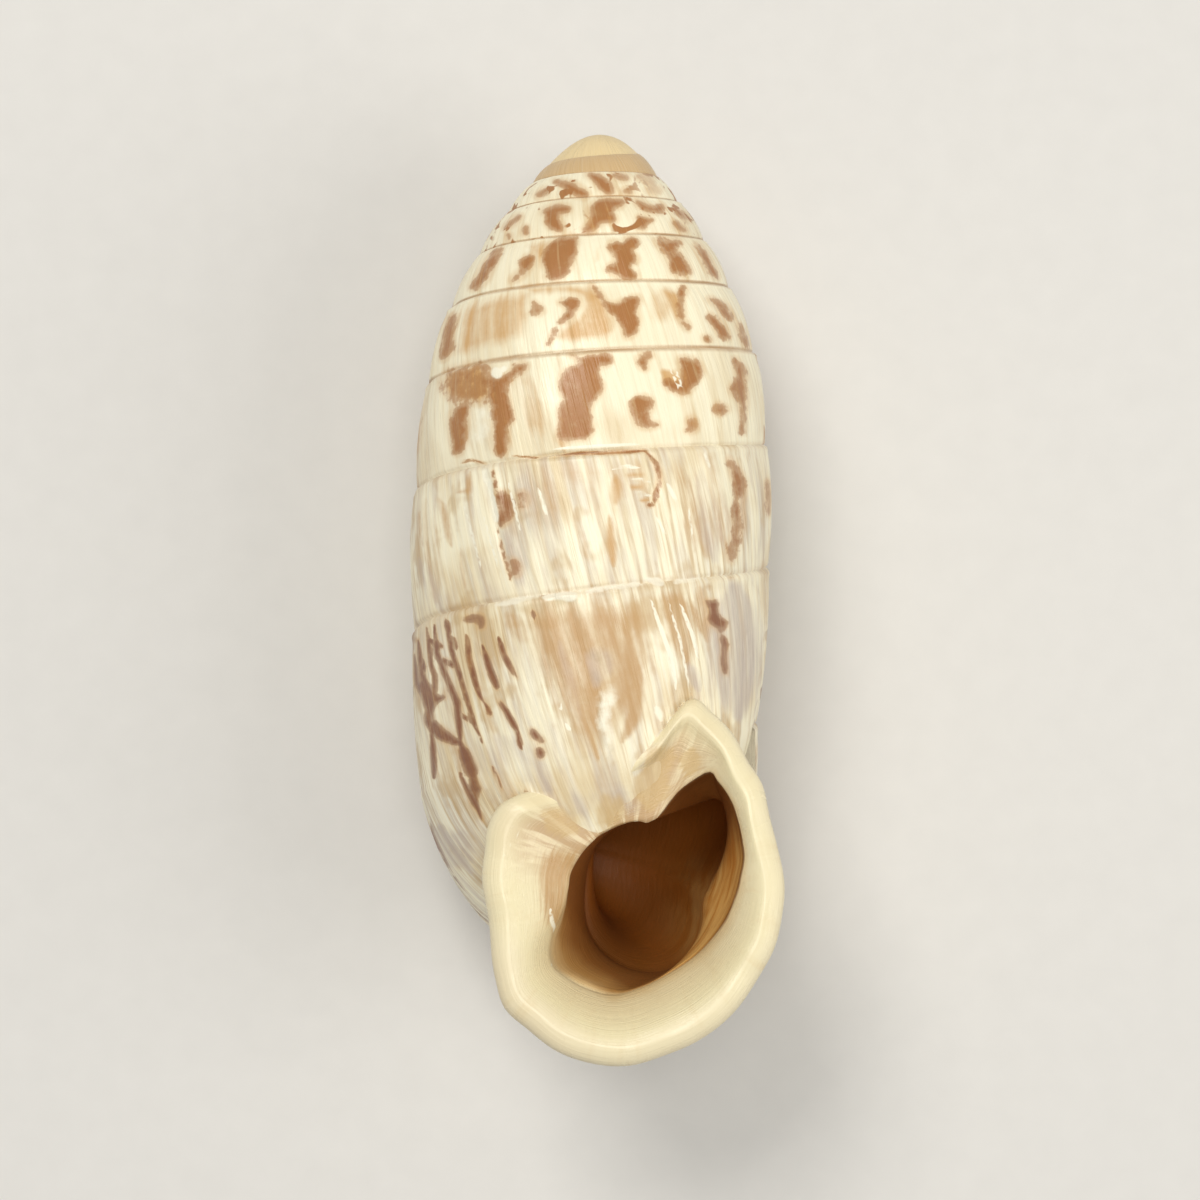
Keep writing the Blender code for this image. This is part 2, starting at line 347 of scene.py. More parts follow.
@dataclass(frozen=True)
class Stroke:
    """A tapering mark, by pixels of the front view.

    Attributes:
        path: Columns and rows of its bends, one after another.
        width: Half of its width at the start.
        end_width: Half of its width at the end, or the same as at the start.
        strength: Height of the field in its middle.
        taper: Share of the width that is lost at both ends of a mark longer than a spot.
    """

    path: tuple
    width: float
    end_width: float = 0.0
    strength: float = 1.0
    taper: float = 0.6

    def field(self, spots: np.ndarray) -> np.ndarray:
        """Strength of the mark at each spot, 0 at its edge and below 0 outside.

        The field is the distance inside the edge over half of the width. In a mark wider than a fine line
        it is multiplied by the power 0.4 of their ratio, so that it rises sooner.

        Args:
            spots: Pixel columns and rows.

        Returns:
            The field's value at each spot, from -1 to the strength.
        """
        bends = np.asarray(self.path, float).reshape(-1, 2)
        taper = self.taper
        if len(bends) == 1:
            bends = np.vstack([bends, bends + 0.01])
            taper = 0.0
        widths = np.linspace(self.width, self.end_width or self.width, len(bends))
        run_lengths = np.linalg.norm(bends[1:] - bends[:-1], axis=1)
        reached = np.concatenate([[0.0], np.cumsum(run_lengths)]) / run_lengths.sum()
        best = np.full(len(spots), -1.0)
        for index, (start, end) in enumerate(zip(bends[:-1], bends[1:])):
            run = end - start
            part = np.clip(((spots - start) @ run) / (run @ run), 0.0, 1.0)
            gap = np.linalg.norm(spots - start - part[:, None] * run, axis=1)
            along = reached[index] + (reached[index + 1] - reached[index]) * part
            half = widths[index] + (widths[index + 1] - widths[index]) * part
            half = half * (1.0 - taper * np.abs(2.0 * along - 1.0) ** 3)
            here = (half - gap) / half * (np.maximum(half, FINE_LINE) / FINE_LINE) ** 0.4
            best = np.maximum(best, np.clip(here, -1.0, 1.0))
        return np.where(best > 0.0, best * self.strength, best * np.sign(self.strength))


@dataclass(frozen=True)
class Enlargement:
    """An enlarged part of the photograph, off which outlines are read.

    Attributes:
        corner: Pixel column and row of the part's upper left corner.
        factor: Enlarged units to a pixel.
    """

    corner: tuple
    factor: float


SPIRE_PART = Enlargement((390.0, 120.0), 3.92)
MIDDLE_PART = Enlargement((400.0, 430.0), 4.02)
MOUTH_PART = Enlargement((470.0, 660.0), 3.644)


@dataclass(frozen=True)
class Patch:
    """A mark with an uneven outline.

    Attributes:
        outline: Columns and rows of its corners, one after another, in the enlarged part.
        strength: Height of the field well inside.
        fade: Pixels over which the field rises from its edge.
        part: The enlarged part that the corners are read off.
        swell: Pixels by which the mark spreads past its outline, for what the rounding of its corners takes.
    """

    outline: tuple
    strength: float = 1.0
    fade: float = 6.0
    part: Enlargement = SPIRE_PART
    swell: float = 1.3

    def corners(self) -> np.ndarray:
        """Pixel columns and rows of the outline, with each corner cut twice so that it is round."""
        corners = np.asarray(self.outline, float).reshape(-1, 2) / self.part.factor + self.part.corner
        for _ in range(2):
            following = np.roll(corners, -1, axis=0)
            cuts = [0.75 * corners + 0.25 * following, 0.25 * corners + 0.75 * following]
            corners = np.stack(cuts, axis=1).reshape(-1, 2)
        return corners

    def field(self, spots: np.ndarray) -> np.ndarray:
        """Strength of the mark at each spot: the distance inside its outline over the fade.

        Args:
            spots: Pixel columns and rows.

        Returns:
            The field's value at each spot, from -1 to the strength.
        """
        corners = self.corners()
        margin = self.fade + self.swell
        low = corners.min(axis=0) - margin
        high = corners.max(axis=0) + margin
        close = np.all((spots > low) & (spots < high), axis=1)
        near = spots[close][:, None, :]
        ends = np.roll(corners, -1, axis=0)
        run = ends - corners
        part = np.clip(((near - corners) * run).sum(axis=-1) / (run * run).sum(axis=-1), 0.0, 1.0)
        gap = np.linalg.norm(near - corners - part[..., None] * run, axis=-1).min(axis=1)
        crossed = (corners[:, 1] > near[..., 1]) != (ends[:, 1] > near[..., 1])
        slope = run[:, 0] / np.where(run[:, 1] == 0.0, 1.0, run[:, 1])
        crossed &= near[..., 0] < corners[:, 0] + (near[..., 1] - corners[:, 1]) * slope
        inside = crossed.sum(axis=1) % 2 == 1
        values = np.full(len(spots), -1.0)
        depth = (np.where(inside, gap, -gap) + self.swell) / self.fade
        values[close] = np.clip(depth, -1.0, 1.0)
        return np.where(values > 0.0, values * self.strength, values)


def marks_field(marks: tuple, spots: np.ndarray) -> np.ndarray:
    """The highest of the marks' fields at each spot.

    Args:
        marks: Patches and strokes.
        spots: Pixel columns and rows.

    Returns:
        The field at each spot, -1 far from any mark.
    """
    best = np.full(len(spots), -1.0)
    for mark in marks:
        best = np.maximum(best, mark.field(spots))
    return best


@dataclass(frozen=True)
class Relief:
    """Fine relief of the coiled wall, in millimetres out from the axis.

    Attributes:
        line_slant: Run of a growth line across, per millimetre down.
        coarse_lines: Coarse growth waves to a turn.
        coarse_height: Height of the coarse waves.
        fine_lines: Fine growth waves to a turn.
        fine_height: Height of the fine waves.
        seam_rib: Height of the uneven rib just below a seam.
        seam_groove: Depth of the seam under the whorl above it.
    """

    line_slant: float = 0.27
    coarse_lines: float = 38.0
    coarse_height: float = 0.03
    fine_lines: float = 96.0
    fine_height: float = 0.018
    seam_rib: float = 0.06
    seam_groove: float = 0.05

    def growth(self, turn: np.ndarray, fall: np.ndarray, radius: np.ndarray) -> np.ndarray:
        """Turns grown along the slanting growth line through each point.

        Args:
            turn: Turns of the point itself.
            fall: Millimetres below the whorl's upper seam.
            radius: Distance from the axis.

        Returns:
            Turns grown, the slant's run over the way round added.
        """
        return turn + self.line_slant * fall / (2.0 * np.pi * np.maximum(radius, 1.0))

    def height(self, turn: np.ndarray, down: np.ndarray, grown: np.ndarray) -> np.ndarray:
        """Relief of the growth waves and of the rib below each seam.

        Args:
            turn: Turns of the point itself.
            down: Share of the way down the whorl.
            grown: Turns grown along the growth line.

        Returns:
            Millimetres out from the axis: two uneven waves and a bell-shaped rib, less a bell-shaped groove.
        """
        waves = self.coarse_height * Ripple(11).at(grown * self.coarse_lines)
        waves += self.fine_height * Ripple(12).at(grown * self.fine_lines)
        strength = ease(turn, 2.2, 6.5) * 0.8 + 0.2 * ease(turn, 1.6, 2.4)
        rib = np.exp(-(((down - 0.035) / 0.03) ** 2)) * (0.55 + 0.45 * Ripple(13).at(turn * 50.0))
        edges = ease(down, 0.0, 0.04) * ease(-down, -1.0, -0.97) + (down > 1.0)
        groove = self.seam_groove * np.exp(-((down / 0.012) ** 2))
        return waves * strength * edges + (self.seam_rib * rib - groove) * ease(turn, 1.6, 3.5)


@dataclass(frozen=True)
class Mouth:
    """The flared mouth and the hollow behind it, in millimetres about the upright axis.

    Directions go round the mouth in degrees, 0 to the right and 90 toward the apex.

    Attributes:
        centre: Middle of the lip.
        lip_direction: Directions of the lip's table.
        lip_radius: Reach of the lip's outer edge.
        throat_direction: Directions of the throat's table.
        throat_radius: Reach of the edge where the dark throat begins.
        lip_plane: Level of the lip's outer edge above the axis.
        lip_rise: Height of the lip's ridge over its edge.
        lip_roll: Distance from the edge in to the ridge.
        lip_waver: Uneven growth of the lip, out and up.
        edge_direction: Directions of the table of the throat's edge.
        edge_level: Level of the throat's edge above the axis.
        funnel_direction: Directions of the table of the funnel's bend.
        funnel_bend: Power of the funnel's fall from the ridge to the throat, under 1 where it drops at once.
        parietal_start: Directions between which the lip gives way to the previous whorl.
        parietal_end: Directions between which the lip comes back.
        parietal_sink: How far the lip's edge hides under the previous whorl there.
        parietal_glaze: Thickness of the glaze over the previous whorl at the throat.
        neck_rings: Turns grown at the first rings of the tube, and how far each stands proud of the wall.
        neck_cover: Wall left between the hollow and the tube's buried side.
        neck_meets: Directions at which the buried side ends, and over which it gives way to the wall.
        neck_inset: How far the tube's neck stays inside the lip's edge.
        root_level: Level at which the tube has turned into the lip.
        curl_radius: Radius of the curl by which the tube turns out along the seam.
        curl_level: Level at which that curl is complete.
        curl_direction: Direction of the seam, round which the tube curls.
        rim_rings: Steps out and up from the tube to the lip's edge.
        throat_rings: Steps out, out on the parietal side, and up, from the cutter's top into the throat.
        tube_top: Level under the throat at which the hollow starts to narrow to the tube.
        tube_centre: Middle of the tube behind the mouth.
        tube_direction: Directions of the tube's table.
        tube_radius: Reach of the tube's inner wall where it lies buried beside the axis.
        hollow_radius: Reach of the hollow in the tube.
        tube_end_turn: Turns at which the hollow ends inside.
        tube_rise: Climb of the tube to a turn back.
        axis_direction: Direction of the axis from the tube's middle.
        growth_by_stage: Turns grown from one stage to the next.
        segments: Points round the mouth.
    """

    centre: tuple = (1.55, -8.8)
    lip_direction: tuple = (-180, -172, -158, -142, -134, -124, -112, -101, -90, -80, -69, -55, -39, -23,
                            -8, 2, 14, 27, 38, 47, 58, 66, 74, 80, 91, 105, 120, 135, 146, 152, 162, 172)
    lip_radius: tuple = (4.66, 4.66, 4.75, 5.3, 5.64, 5.72, 5.88, 5.88, 5.76, 5.58, 5.44, 5.23, 4.95, 4.86,
                         4.72, 4.62, 4.54, 4.63, 4.94, 5.08, 5.44, 5.64, 5.73, 4.7, 4.0, 3.6, 3.5, 3.9,
                         4.43, 4.7, 4.77, 4.66)
    throat_direction: tuple = (-168, -155, -149, -143, -138, -132, -122, -107, -98, -87, -69, -47, -27, -8,
                               3, 11, 21, 31, 40, 50, 56, 60, 64, 68, 74, 86, 97, 116, 135, 151, 167, 178)
    throat_radius: tuple = (2.07, 2.36, 2.65, 3.12, 3.45, 3.72, 3.78, 3.78, 3.74, 3.52, 3.24, 3.14, 3.14,
                            3.24, 3.34, 3.47, 3.56, 3.7, 3.85, 3.96, 4.0, 3.5, 2.95, 2.15, 1.82, 1.75, 1.69,
                            1.64, 1.67, 1.74, 1.85, 1.96)
    lip_plane: float = 4.75
    lip_rise: float = 0.42
    lip_roll: float = 0.65
    lip_waver: float = 0.035
    edge_direction: tuple = (-175, -155, -136, -120, -95, -65, -40, -20, 5, 35, 52, 63, 74, 90, 140, 155,
                             170)
    edge_level: tuple = (4.3, 4.2, 3.9, 3.4, 3.3, 3.3, 3.6, 4.2, 4.75, 4.78, 4.7, 4.5, 4.4, 4.5, 4.5, 4.45,
                         4.35)
    funnel_direction: tuple = (-170, -140, -110, -70, -30, 10, 45, 60, 70, 90, 140, 160)
    funnel_bend: tuple = (1.3, 1.5, 1.6, 1.5, 1.5, 1.5, 1.3, 0.7, 0.5, 0.5, 0.8, 1.1)
    parietal_start: tuple = (78.0, 106.0)
    parietal_end: tuple = (122.0, 150.0)
    parietal_sink: float = 0.35
    parietal_glaze: float = 0.05
    neck_rings: tuple = ((9.11, -0.35), (9.14, -0.2), (9.17, -0.1), (9.21, 0.0), (9.23, 0.03))
    neck_cover: float = 0.3
    neck_meets: tuple = (62.0, 25.0)
    neck_inset: float = 0.62
    root_level: float = 3.8
    curl_radius: float = 5.75
    curl_level: float = 4.9
    curl_direction: float = 72.0
    rim_rings: tuple = ((-0.54, -0.72), (-0.42, -0.5), (-0.26, -0.34), (-0.12, -0.22), (-0.03, -0.1), (0.0,
                         0.0))
    throat_rings: tuple = ((-0.12, 0.3, 0.3), (-0.04, 0.06, 0.0), (0.0, 0.02, -0.15), (0.02, 0.0, -0.35))
    tube_top: float = 2.95
    tube_centre: tuple = (3.0, -9.3)
    tube_direction: tuple = (-180, -150, -120, -90, -60, -30, 0, 30, 45, 55, 64, 75, 90, 120, 150)
    tube_radius: tuple = (1.9, 2.1, 2.2, 1.9, 1.3, 0.95, 0.95, 1.5, 2.1, 2.5, 2.7, 2.2, 1.75, 1.45, 1.5)
    hollow_radius: tuple = (2.95, 3.1, 2.9, 2.4, 1.5, 0.95, 0.95, 1.5, 2.3, 2.9, 3.3, 3.0, 2.6, 2.7, 2.95)
    tube_end_turn: float = 8.86
    tube_rise: float = 5.4
    axis_direction: float = 140.0
    growth_by_stage: float = 0.33
    segments: int = 208

    def directions(self) -> np.ndarray:
        """Directions of the points round the mouth."""
        return np.linspace(-180.0, 180.0, self.segments, endpoint=False)

    def tube_middle(self, turn: float) -> float:
        """Height of the middle of the tube after a number of turns."""
        return self.tube_centre[1] + self.tube_rise * (MOUTH_TURN - turn)

    def parietal(self) -> np.ndarray:
        """Share by direction that is 1 where the previous whorl itself is the mouth's wall."""
        directions = self.directions()
        return ease(directions, *self.parietal_start) * (1.0 - ease(directions, *self.parietal_end))

    def ring(self, spiral: Spiral, reach: np.ndarray, lifted: np.ndarray | float,
             above: float | None = None) -> np.ndarray:
        """Ring about the middle of the mouth.

        Args:
            spiral: The coiled form.
            reach: Distance from the middle by direction.
            lifted: Level or levels above the axis.
            above: Height above the previous whorl on the parietal side, or None for no change.

        Returns:
            World points of the ring.
        """
        angle = np.radians(self.directions())
        across = self.centre[0] + reach * np.cos(angle)
        height = self.centre[1] + reach * np.sin(angle)
        level = np.broadcast_to(lifted, reach.shape)
        if above is not None:
            level = level + (spiral.front_level(across, height) + above - level) * self.parietal()
        return spiral.lean(across, height, level)

    def tube_ring(self, spiral: Spiral, reach: np.ndarray, turn: float) -> np.ndarray:
        """Ring about the middle of the tube, in the half-plane through the axis after a number of turns.

        Args:
            spiral: The coiled form.
            reach: Distance from the tube's middle by direction.
            turn: Turns grown.

        Returns:
            World points of the ring.
        """
        angle = np.radians(self.directions())
        across = self.tube_centre[0] + reach * np.cos(angle)
        return spiral.place(across, self.tube_middle(turn) + reach * np.sin(angle), turn)

    def neck(self, spiral: Spiral, turn: float, proud: float) -> np.ndarray:
        """Reach of the tube's outside: proud of the last whorl outside, buried on the side of the axis.

        Args:
            spiral: The coiled form.
            turn: Turns grown.
            proud: How far the tube stands out of the wall.

        Returns:
            Distance from the tube's middle by direction.
        """
        directions = self.directions()
        down = np.linspace(0.0, 1.0, 200)
        radius, height = spiral.whorl(turn, down)
        base_radius, base_height = spiral.base(turn, down)
        across = np.concatenate([radius, base_radius]) - self.tube_centre[0]
        along = np.concatenate([height, base_height]) - self.tube_middle(turn)
        found = np.degrees(np.arctan2(along, across))
        found = np.where(found > 120.0, found - 360.0, found)
        order = np.argsort(found)
        turned = np.where(directions > 120.0, directions - 360.0, directions)
        outside = np.interp(turned, found[order], np.hypot(across, along)[order]) + proud
        buried = round_table(directions, self.tube_direction, self.tube_radius) + self.neck_cover
        from_axis = np.abs((directions - self.axis_direction + 180.0) % 360.0 - 180.0)
        leaves, over = self.neck_meets
        return buried + (outside - buried) * np.clip((from_axis - leaves) / over, 0.0, 1.0)

    def leaving_share(self, lifted: float) -> np.ndarray:
        """How far the tube has turned into the lip: as a circle's arc along the seam, as a sine elsewhere.

        Args:
            lifted: Level above the axis.

        Returns:
            Share by direction, 0 at the tube and 1 at the lip.
        """
        curl = 1.0 - np.sqrt(1.0 - (self.curl_level / self.curl_radius) ** 2)
        along_seam = (1.0 - np.sqrt(1.0 - (lifted / self.curl_radius) ** 2)) / curl
        elsewhere = np.sin(0.5 * np.pi * lifted / self.root_level)
        near_seam = np.clip(1.6 - np.abs(self.directions() - self.curl_direction) / 40.0, 0.0, 1.0)
        return elsewhere + (along_seam - elsewhere) * near_seam

    def outer_rings(self, spiral: Spiral) -> tuple[np.ndarray, np.ndarray]:
        """Rings of the lip's solid: up the tube, round the rolled rim and down the funnel to the throat.

        Args:
            spiral: The coiled wall.

        Returns:
            World points by ring, and the stage of each ring: 10 where the tube starts, 11 at the ridge of the
            rim and 12 at the throat.
        """
        angle = np.radians(self.directions())
        lip = round_table(self.directions(), self.lip_direction, self.lip_radius)
        lip = lip + self.lip_waver * Ripple(21, 24).at(self.directions() / 15.0)
        rise = self.lip_rise + self.lip_waver * Ripple(22, 36).at(self.directions() / 10.0)
        throat = round_table(self.directions(), self.throat_direction, self.throat_radius)
        rings = []
        stages = []
        for turn, proud in self.neck_rings:
            rings.append(self.tube_ring(spiral, self.neck(spiral, turn, proud), turn))
            stages.append(10.0 + (turn - MOUTH_TURN) / self.growth_by_stage)
        start = self.neck(spiral, MOUTH_TURN, 0.04)
        flared = lip - self.neck_inset
        for lifted in np.linspace(0.0, self.root_level, 14):
            part = self.leaving_share(lifted)
            across = self.tube_centre[0] + start * np.cos(angle)
            across = across + (self.centre[0] + flared * np.cos(angle) - across) * part
            along = self.tube_centre[1] + start * np.sin(angle)
            along = along + (self.centre[1] + flared * np.sin(angle) - along) * part
            rings.append(spiral.lean(across, along, np.full_like(across, lifted)))
            stages.append(10.0 + 0.1 * lifted)
        sunk = -self.parietal_sink
        for out, lifted in self.rim_rings:
            rings.append(self.ring(spiral, lip + out, self.lip_plane + lifted, sunk + 0.5 * lifted))
            stages.append(10.65 + 0.15 * lifted)
        for swing in np.radians((15.0, 30.0, 45.0, 60.0, 75.0, 90.0)):
            out = -self.lip_roll * (1.0 - np.cos(swing))
            lifted = self.lip_plane + rise * np.sin(swing)
            rings.append(self.ring(spiral, lip + out, lifted, sunk + 0.2 * np.sin(swing)))
            stages.append(10.65 + 0.35 * np.sin(swing))
        ridge = lip - self.lip_roll
        edge = round_table(self.directions(), self.edge_direction, self.edge_level)
        bend = round_table(self.directions(), self.funnel_direction, self.funnel_bend)
        top = self.lip_plane + rise
        for part in np.linspace(0.0, 1.0, 16)[1:]:
            above = sunk + 0.2 + (self.parietal_glaze - sunk - 0.2) * part
            level = top + (edge - top) * part**bend
            rings.append(self.ring(spiral, ridge + (throat - ridge) * part, level, above))
            stages.append(11.0 + part)
        rings.append(self.ring(spiral, throat - 0.01, edge - 0.18, -0.2))
        rings.append(self.ring(spiral, throat * 0.6, 3.0))
        return np.array(rings), np.array(stages + [12.05, 12.1])

    def hollow_rings(self, spiral: Spiral) -> tuple[np.ndarray, np.ndarray]:
        """Rings of the hollow: in at the throat, narrowing to the tube and back round the axis to a point.

        Args:
            spiral: The coiled wall.

        Returns:
            World points by ring, and the stage of each ring: 12 at the throat and 14 at the inner end.
        """
        angle = np.radians(self.directions())
        throat = round_table(self.directions(), self.throat_direction, self.throat_radius)
        tube = round_table(self.directions(), self.tube_direction, self.hollow_radius)
        rings = []
        stages = []
        edge = round_table(self.directions(), self.edge_direction, self.edge_level)
        parietal = self.parietal()
        rings.append(self.ring(spiral, throat * 0.5, 5.5))
        for out, flare, lifted in self.throat_rings:
            reach = throat + out + (flare - out) * parietal
            rings.append(self.ring(spiral, reach, edge + lifted, lifted + 0.05))
        stages += [12.0] * 5
        for lifted in np.linspace(self.tube_top, 0.3, 9):
            part = 1.0 - (lifted - 0.3) / (self.tube_top + 0.3)
            part = part * part * (3.0 - 2.0 * part)
            across = (self.centre[0] + throat * np.cos(angle)) * (1.0 - part)
            across += (self.tube_centre[0] + tube * np.cos(angle)) * part
            along = (self.centre[1] + throat * np.sin(angle)) * (1.0 - part)
            along += (self.tube_centre[1] + tube * np.sin(angle)) * part
            rings.append(spiral.lean(across, along, np.full_like(across, lifted)))
            stages.append(12.1 + 0.9 * (1.0 - lifted / (self.tube_top + 0.6)))
        for part in np.linspace(0.0, 1.0, 20):
            turn = MOUTH_TURN + (self.tube_end_turn - MOUTH_TURN) * part
            reach = tube * (1.0 - part**2.2) * (1.0 - 0.15 * part) + 0.12 * part
            rings.append(self.tube_ring(spiral, reach, turn))
            stages.append(13.0 + part)
        return np.array(rings), np.array(stages)


def ring_faces(rings: int, segments: int, width: int) -> list:
    """Faces of a closed tube of rings, capped at both ends.

    Args:
        rings: Number of rings.
        segments: Faces round a ring.
        width: Numbers to a ring: as many as faces where the last face returns to the first point, or one
            more.

    Returns:
        Corner numbers of each face.
    """
    ring, spot = np.meshgrid(np.arange(rings - 1), np.arange(segments), indexing="ij")
    after = (spot + 1) % width
    quads = np.stack([ring * width + spot, ring * width + after, (ring + 1) * width + after,
                      (ring + 1) * width + spot], axis=-1).reshape(-1, 4)
    first = list(range(segments))[::-1]
    last = list(range((rings - 1) * width, (rings - 1) * width + segments))
    return quads.tolist() + [first, last]


def new_object(name: str, points: np.ndarray, faces: list, layers: dict,
               sources: list | None = None) -> bpy.types.Object:
    """Mesh object from points in millimetres.

    Args:
        name: Name of the object.
        points: World points, one row each.
        faces: Point numbers of each face's corners.
        layers: Rows of two values, by the layer that carries them as a UV map.
        sources: Row of the layers that each corner takes, face by face, or None for the row of its own point.

    Returns:
        The linked object, shaded smooth.
    """
    mesh = bpy.data.meshes.new(name)
    mesh.from_pydata((points * MM).tolist(), [], faces)
    corners = np.concatenate([np.asarray(face) for face in sources or faces])
    for layer, values in layers.items():
        made = mesh.uv_layers.new(name=layer.value)
        made.data.foreach_set("uv", values[corners].astype(np.float32).ravel())
    mesh.shade_smooth()
    made = bpy.data.objects.new(name, mesh)
    bpy.context.scene.collection.objects.link(made)
    return made


@dataclass
class ShellBody:
    """The whole shell: the coiled wall, the lip and the hollow, joined into one closed surface.

    Attributes:
        spiral: The coiled form.
        mouth: The mouth's form.
        relief: The fine relief.
        view: The viewpoint that places the marks.
        steps: Steps of growth to a turn.
        last_step: Step at which the coiled wall ends, under the lip.
        rows: Rows across a whorl.
        base_rows: Rows across the base.
        front_crowding: How much closer together the steps are in front than behind.
        marks: Marks of each kind, by the layer that carries their field.
        scar_strokes: Strokes of healed damage, with their height in millimetres as strength.
    """

    spiral: Spiral
    mouth: Mouth
    relief: Relief
    view: Viewpoint
    steps: int = 216
    last_step: int = 1985
    rows: int = 36
    base_rows: int = 20
    front_crowding: float = 0.6
    marks: dict = field(default_factory=dict)
    scar_strokes: tuple = ()

    def grid(self) -> tuple[np.ndarray, np.ndarray, np.ndarray]:
        """Points of the coiled wall and their two layers.

        A point's angle follows its turns grown. Its radius and height run down the whorl's profile and, on
        the last whorl, on down the base; the relief is added to the radius.

        Returns:
            Points, growth layer and place layer, each by step and column.
        """
        turn = (np.arange(self.last_step + 1) / self.steps)[:, None]
        turn = turn + self.front_crowding * np.sin(2.0 * np.pi * turn) / (2.0 * np.pi)
        share = np.linspace(0.0, 1.0, self.rows + 1)[None, :]
        share = share - 0.055 * np.sin(2.0 * np.pi * share)
        radius, height = self.spiral.whorl(turn, share)
        along = np.linspace(0.0, 1.0, self.base_rows + 1)[None, 1:]
        base_radius, base_height = self.spiral.base(turn, along)
        radius = np.concatenate([radius, base_radius], axis=1)
        height = np.concatenate([height, base_height], axis=1)
        down = np.concatenate([share, 1.0 + along], axis=1) + 0.0 * turn
        turns = turn + 0.0 * down
        fall = self.spiral.seam(turns)[1] - height
        grown = self.relief.growth(turns, fall, radius)
        shape = self.relief.height(turns, down, grown) * np.clip(radius / 2.0, 0.0, 1.0)
        rough = self.spiral.place(radius, height, turns)
        shape = shape + self.scars(rough)
        points = self.spiral.place(radius + shape, height, turns)
        growth = np.stack([grown, fall * 0.1], axis=-1)
        return points, growth, np.stack([turns, down], axis=-1)

    def scars(self, points: np.ndarray) -> np.ndarray:
        """Relief of the healed damage in front: each stroke's field, eased at its edge.

        Args:
            points: World points of the wall.

        Returns:
            Millimetres out from the axis at each point.
        """
        flat = points.reshape(-1, 3)
        spots = self.view.pixels(flat)
        facing = flat[:, 2] > self.spiral.axis_height
        relief = np.zeros(len(flat))
        for stroke in self.scar_strokes:
            shape = np.clip(stroke.field(spots) / stroke.strength, 0.0, 1.0)
            relief += stroke.strength * shape * shape * (3.0 - 2.0 * shape)
        return (relief * facing).reshape(points.shape[:-1])

    def coiled_wall(self) -> bpy.types.Object:
        """Closed coiled wall, with the lower edge of each whorl welded to the upper edge of the next.

        The faces are kept under two numberings: the welded one tells their points, and the plain one tells
        the rows of the layers, so that a corner on a seam keeps the place and growth of its own whorl.
        """
        points, growth, place = self.grid()
        columns = points.shape[1]
        open_from = self.last_step - self.steps
        plain = np.arange((self.last_step + 1) * columns).reshape(self.last_step + 1, columns)
        welded = plain.copy()
        welded[: self.steps + 1, 0] = 0
        welded[: open_from + 1, self.rows] = welded[self.steps : self.last_step + 1, 0]
        welded[0, : self.rows] = 0
        welded[:, -1] = welded[self.last_step, -1]
        quads = self.quads(welded, open_from)
        sources = self.quads(plain, open_from)
        doubled = quads == np.roll(quads, 1, axis=1)
        faces = quads[~doubled.any(axis=1)].tolist()
        rows = sources[~doubled.any(axis=1)].tolist()
        for quad, source, twice in zip(quads, sources, doubled):
            if twice.any() and np.count_nonzero(~twice) > 2:
                faces.append(quad[~twice].tolist())
                rows.append(source[~twice].tolist())
        cap = [welded[open_from, self.rows + 1 : -1].tolist() + welded[self.last_step, ::-1].tolist()]
        corners = np.concatenate([np.asarray(face) for face in faces + cap])
        used, small = np.unique(corners, return_inverse=True)
        sizes = np.cumsum([len(face) for face in faces + cap])[:-1]
        small = [face.tolist() for face in np.split(small, sizes)]
        layers = {Layer.GROWTH: growth.reshape(-1, 2), Layer.PLACE: place.reshape(-1, 2)}
        return new_object("shell", points.reshape(-1, 3)[used], small, layers, rows + cap)

    def quads(self, number: np.ndarray, open_from: int) -> np.ndarray:
        """Four-cornered faces of the wall and of the base.

        Args:
            number: Numbers of the points, by step and column.
            open_from: Step from which the base lies open.

        Returns:
            Corner numbers, four to a row.
        """
        quads = np.stack([number[1:, :-1], number[1:, 1:], number[:-1, 1:], number[:-1, :-1]], axis=-1)
        wall = quads[:, : self.rows].reshape(-1, 4)
        base = quads[open_from:, self.rows :].reshape(-1, 4)
        return np.concatenate([wall, base])

    def lip(self) -> bpy.types.Object:
        """Solid of the last quarter whorl and the rolled lip, a tube of rings."""
        rings, stages = self.mouth.outer_rings(self.spiral)
        return self.tube("lip", rings, stages)

    def hollow(self) -> bpy.types.Object:
        """Cutter for the inside, a tube of rings."""
        rings, stages = self.mouth.hollow_rings(self.spiral)
        return self.tube("hollow", rings[::-1], stages[::-1])

    def tube(self, name: str, rings: np.ndarray, stages: np.ndarray) -> bpy.types.Object:
        """Closed tube through rings of points.

        Args:
            name: Name of the object.
            rings: World points by ring.
            stages: Stage of each ring, carried to the finish.

        Returns:
            The linked object.
        """
        count, segments = rings.shape[:2]
        stage = np.broadcast_to(stages[:, None], (count, segments + 1))
        share = np.broadcast_to(np.linspace(-0.5, 0.5, segments + 1)[None, :], (count, segments + 1))
        grown = MOUTH_TURN + self.mouth.growth_by_stage * (stage - 10.0)
        round_rim = 3.1 * np.abs(share)
        layers = {
            Layer.GROWTH: np.stack([grown, round_rim], axis=-1).reshape(-1, 2),
            Layer.PLACE: np.stack([share, stage], axis=-1).reshape(-1, 2),
        }
        faces = ring_faces(count, segments, segments)
        sources = ring_faces(count, segments, segments + 1)
        return new_object(name, rings.reshape(-1, 3), faces, layers, sources)

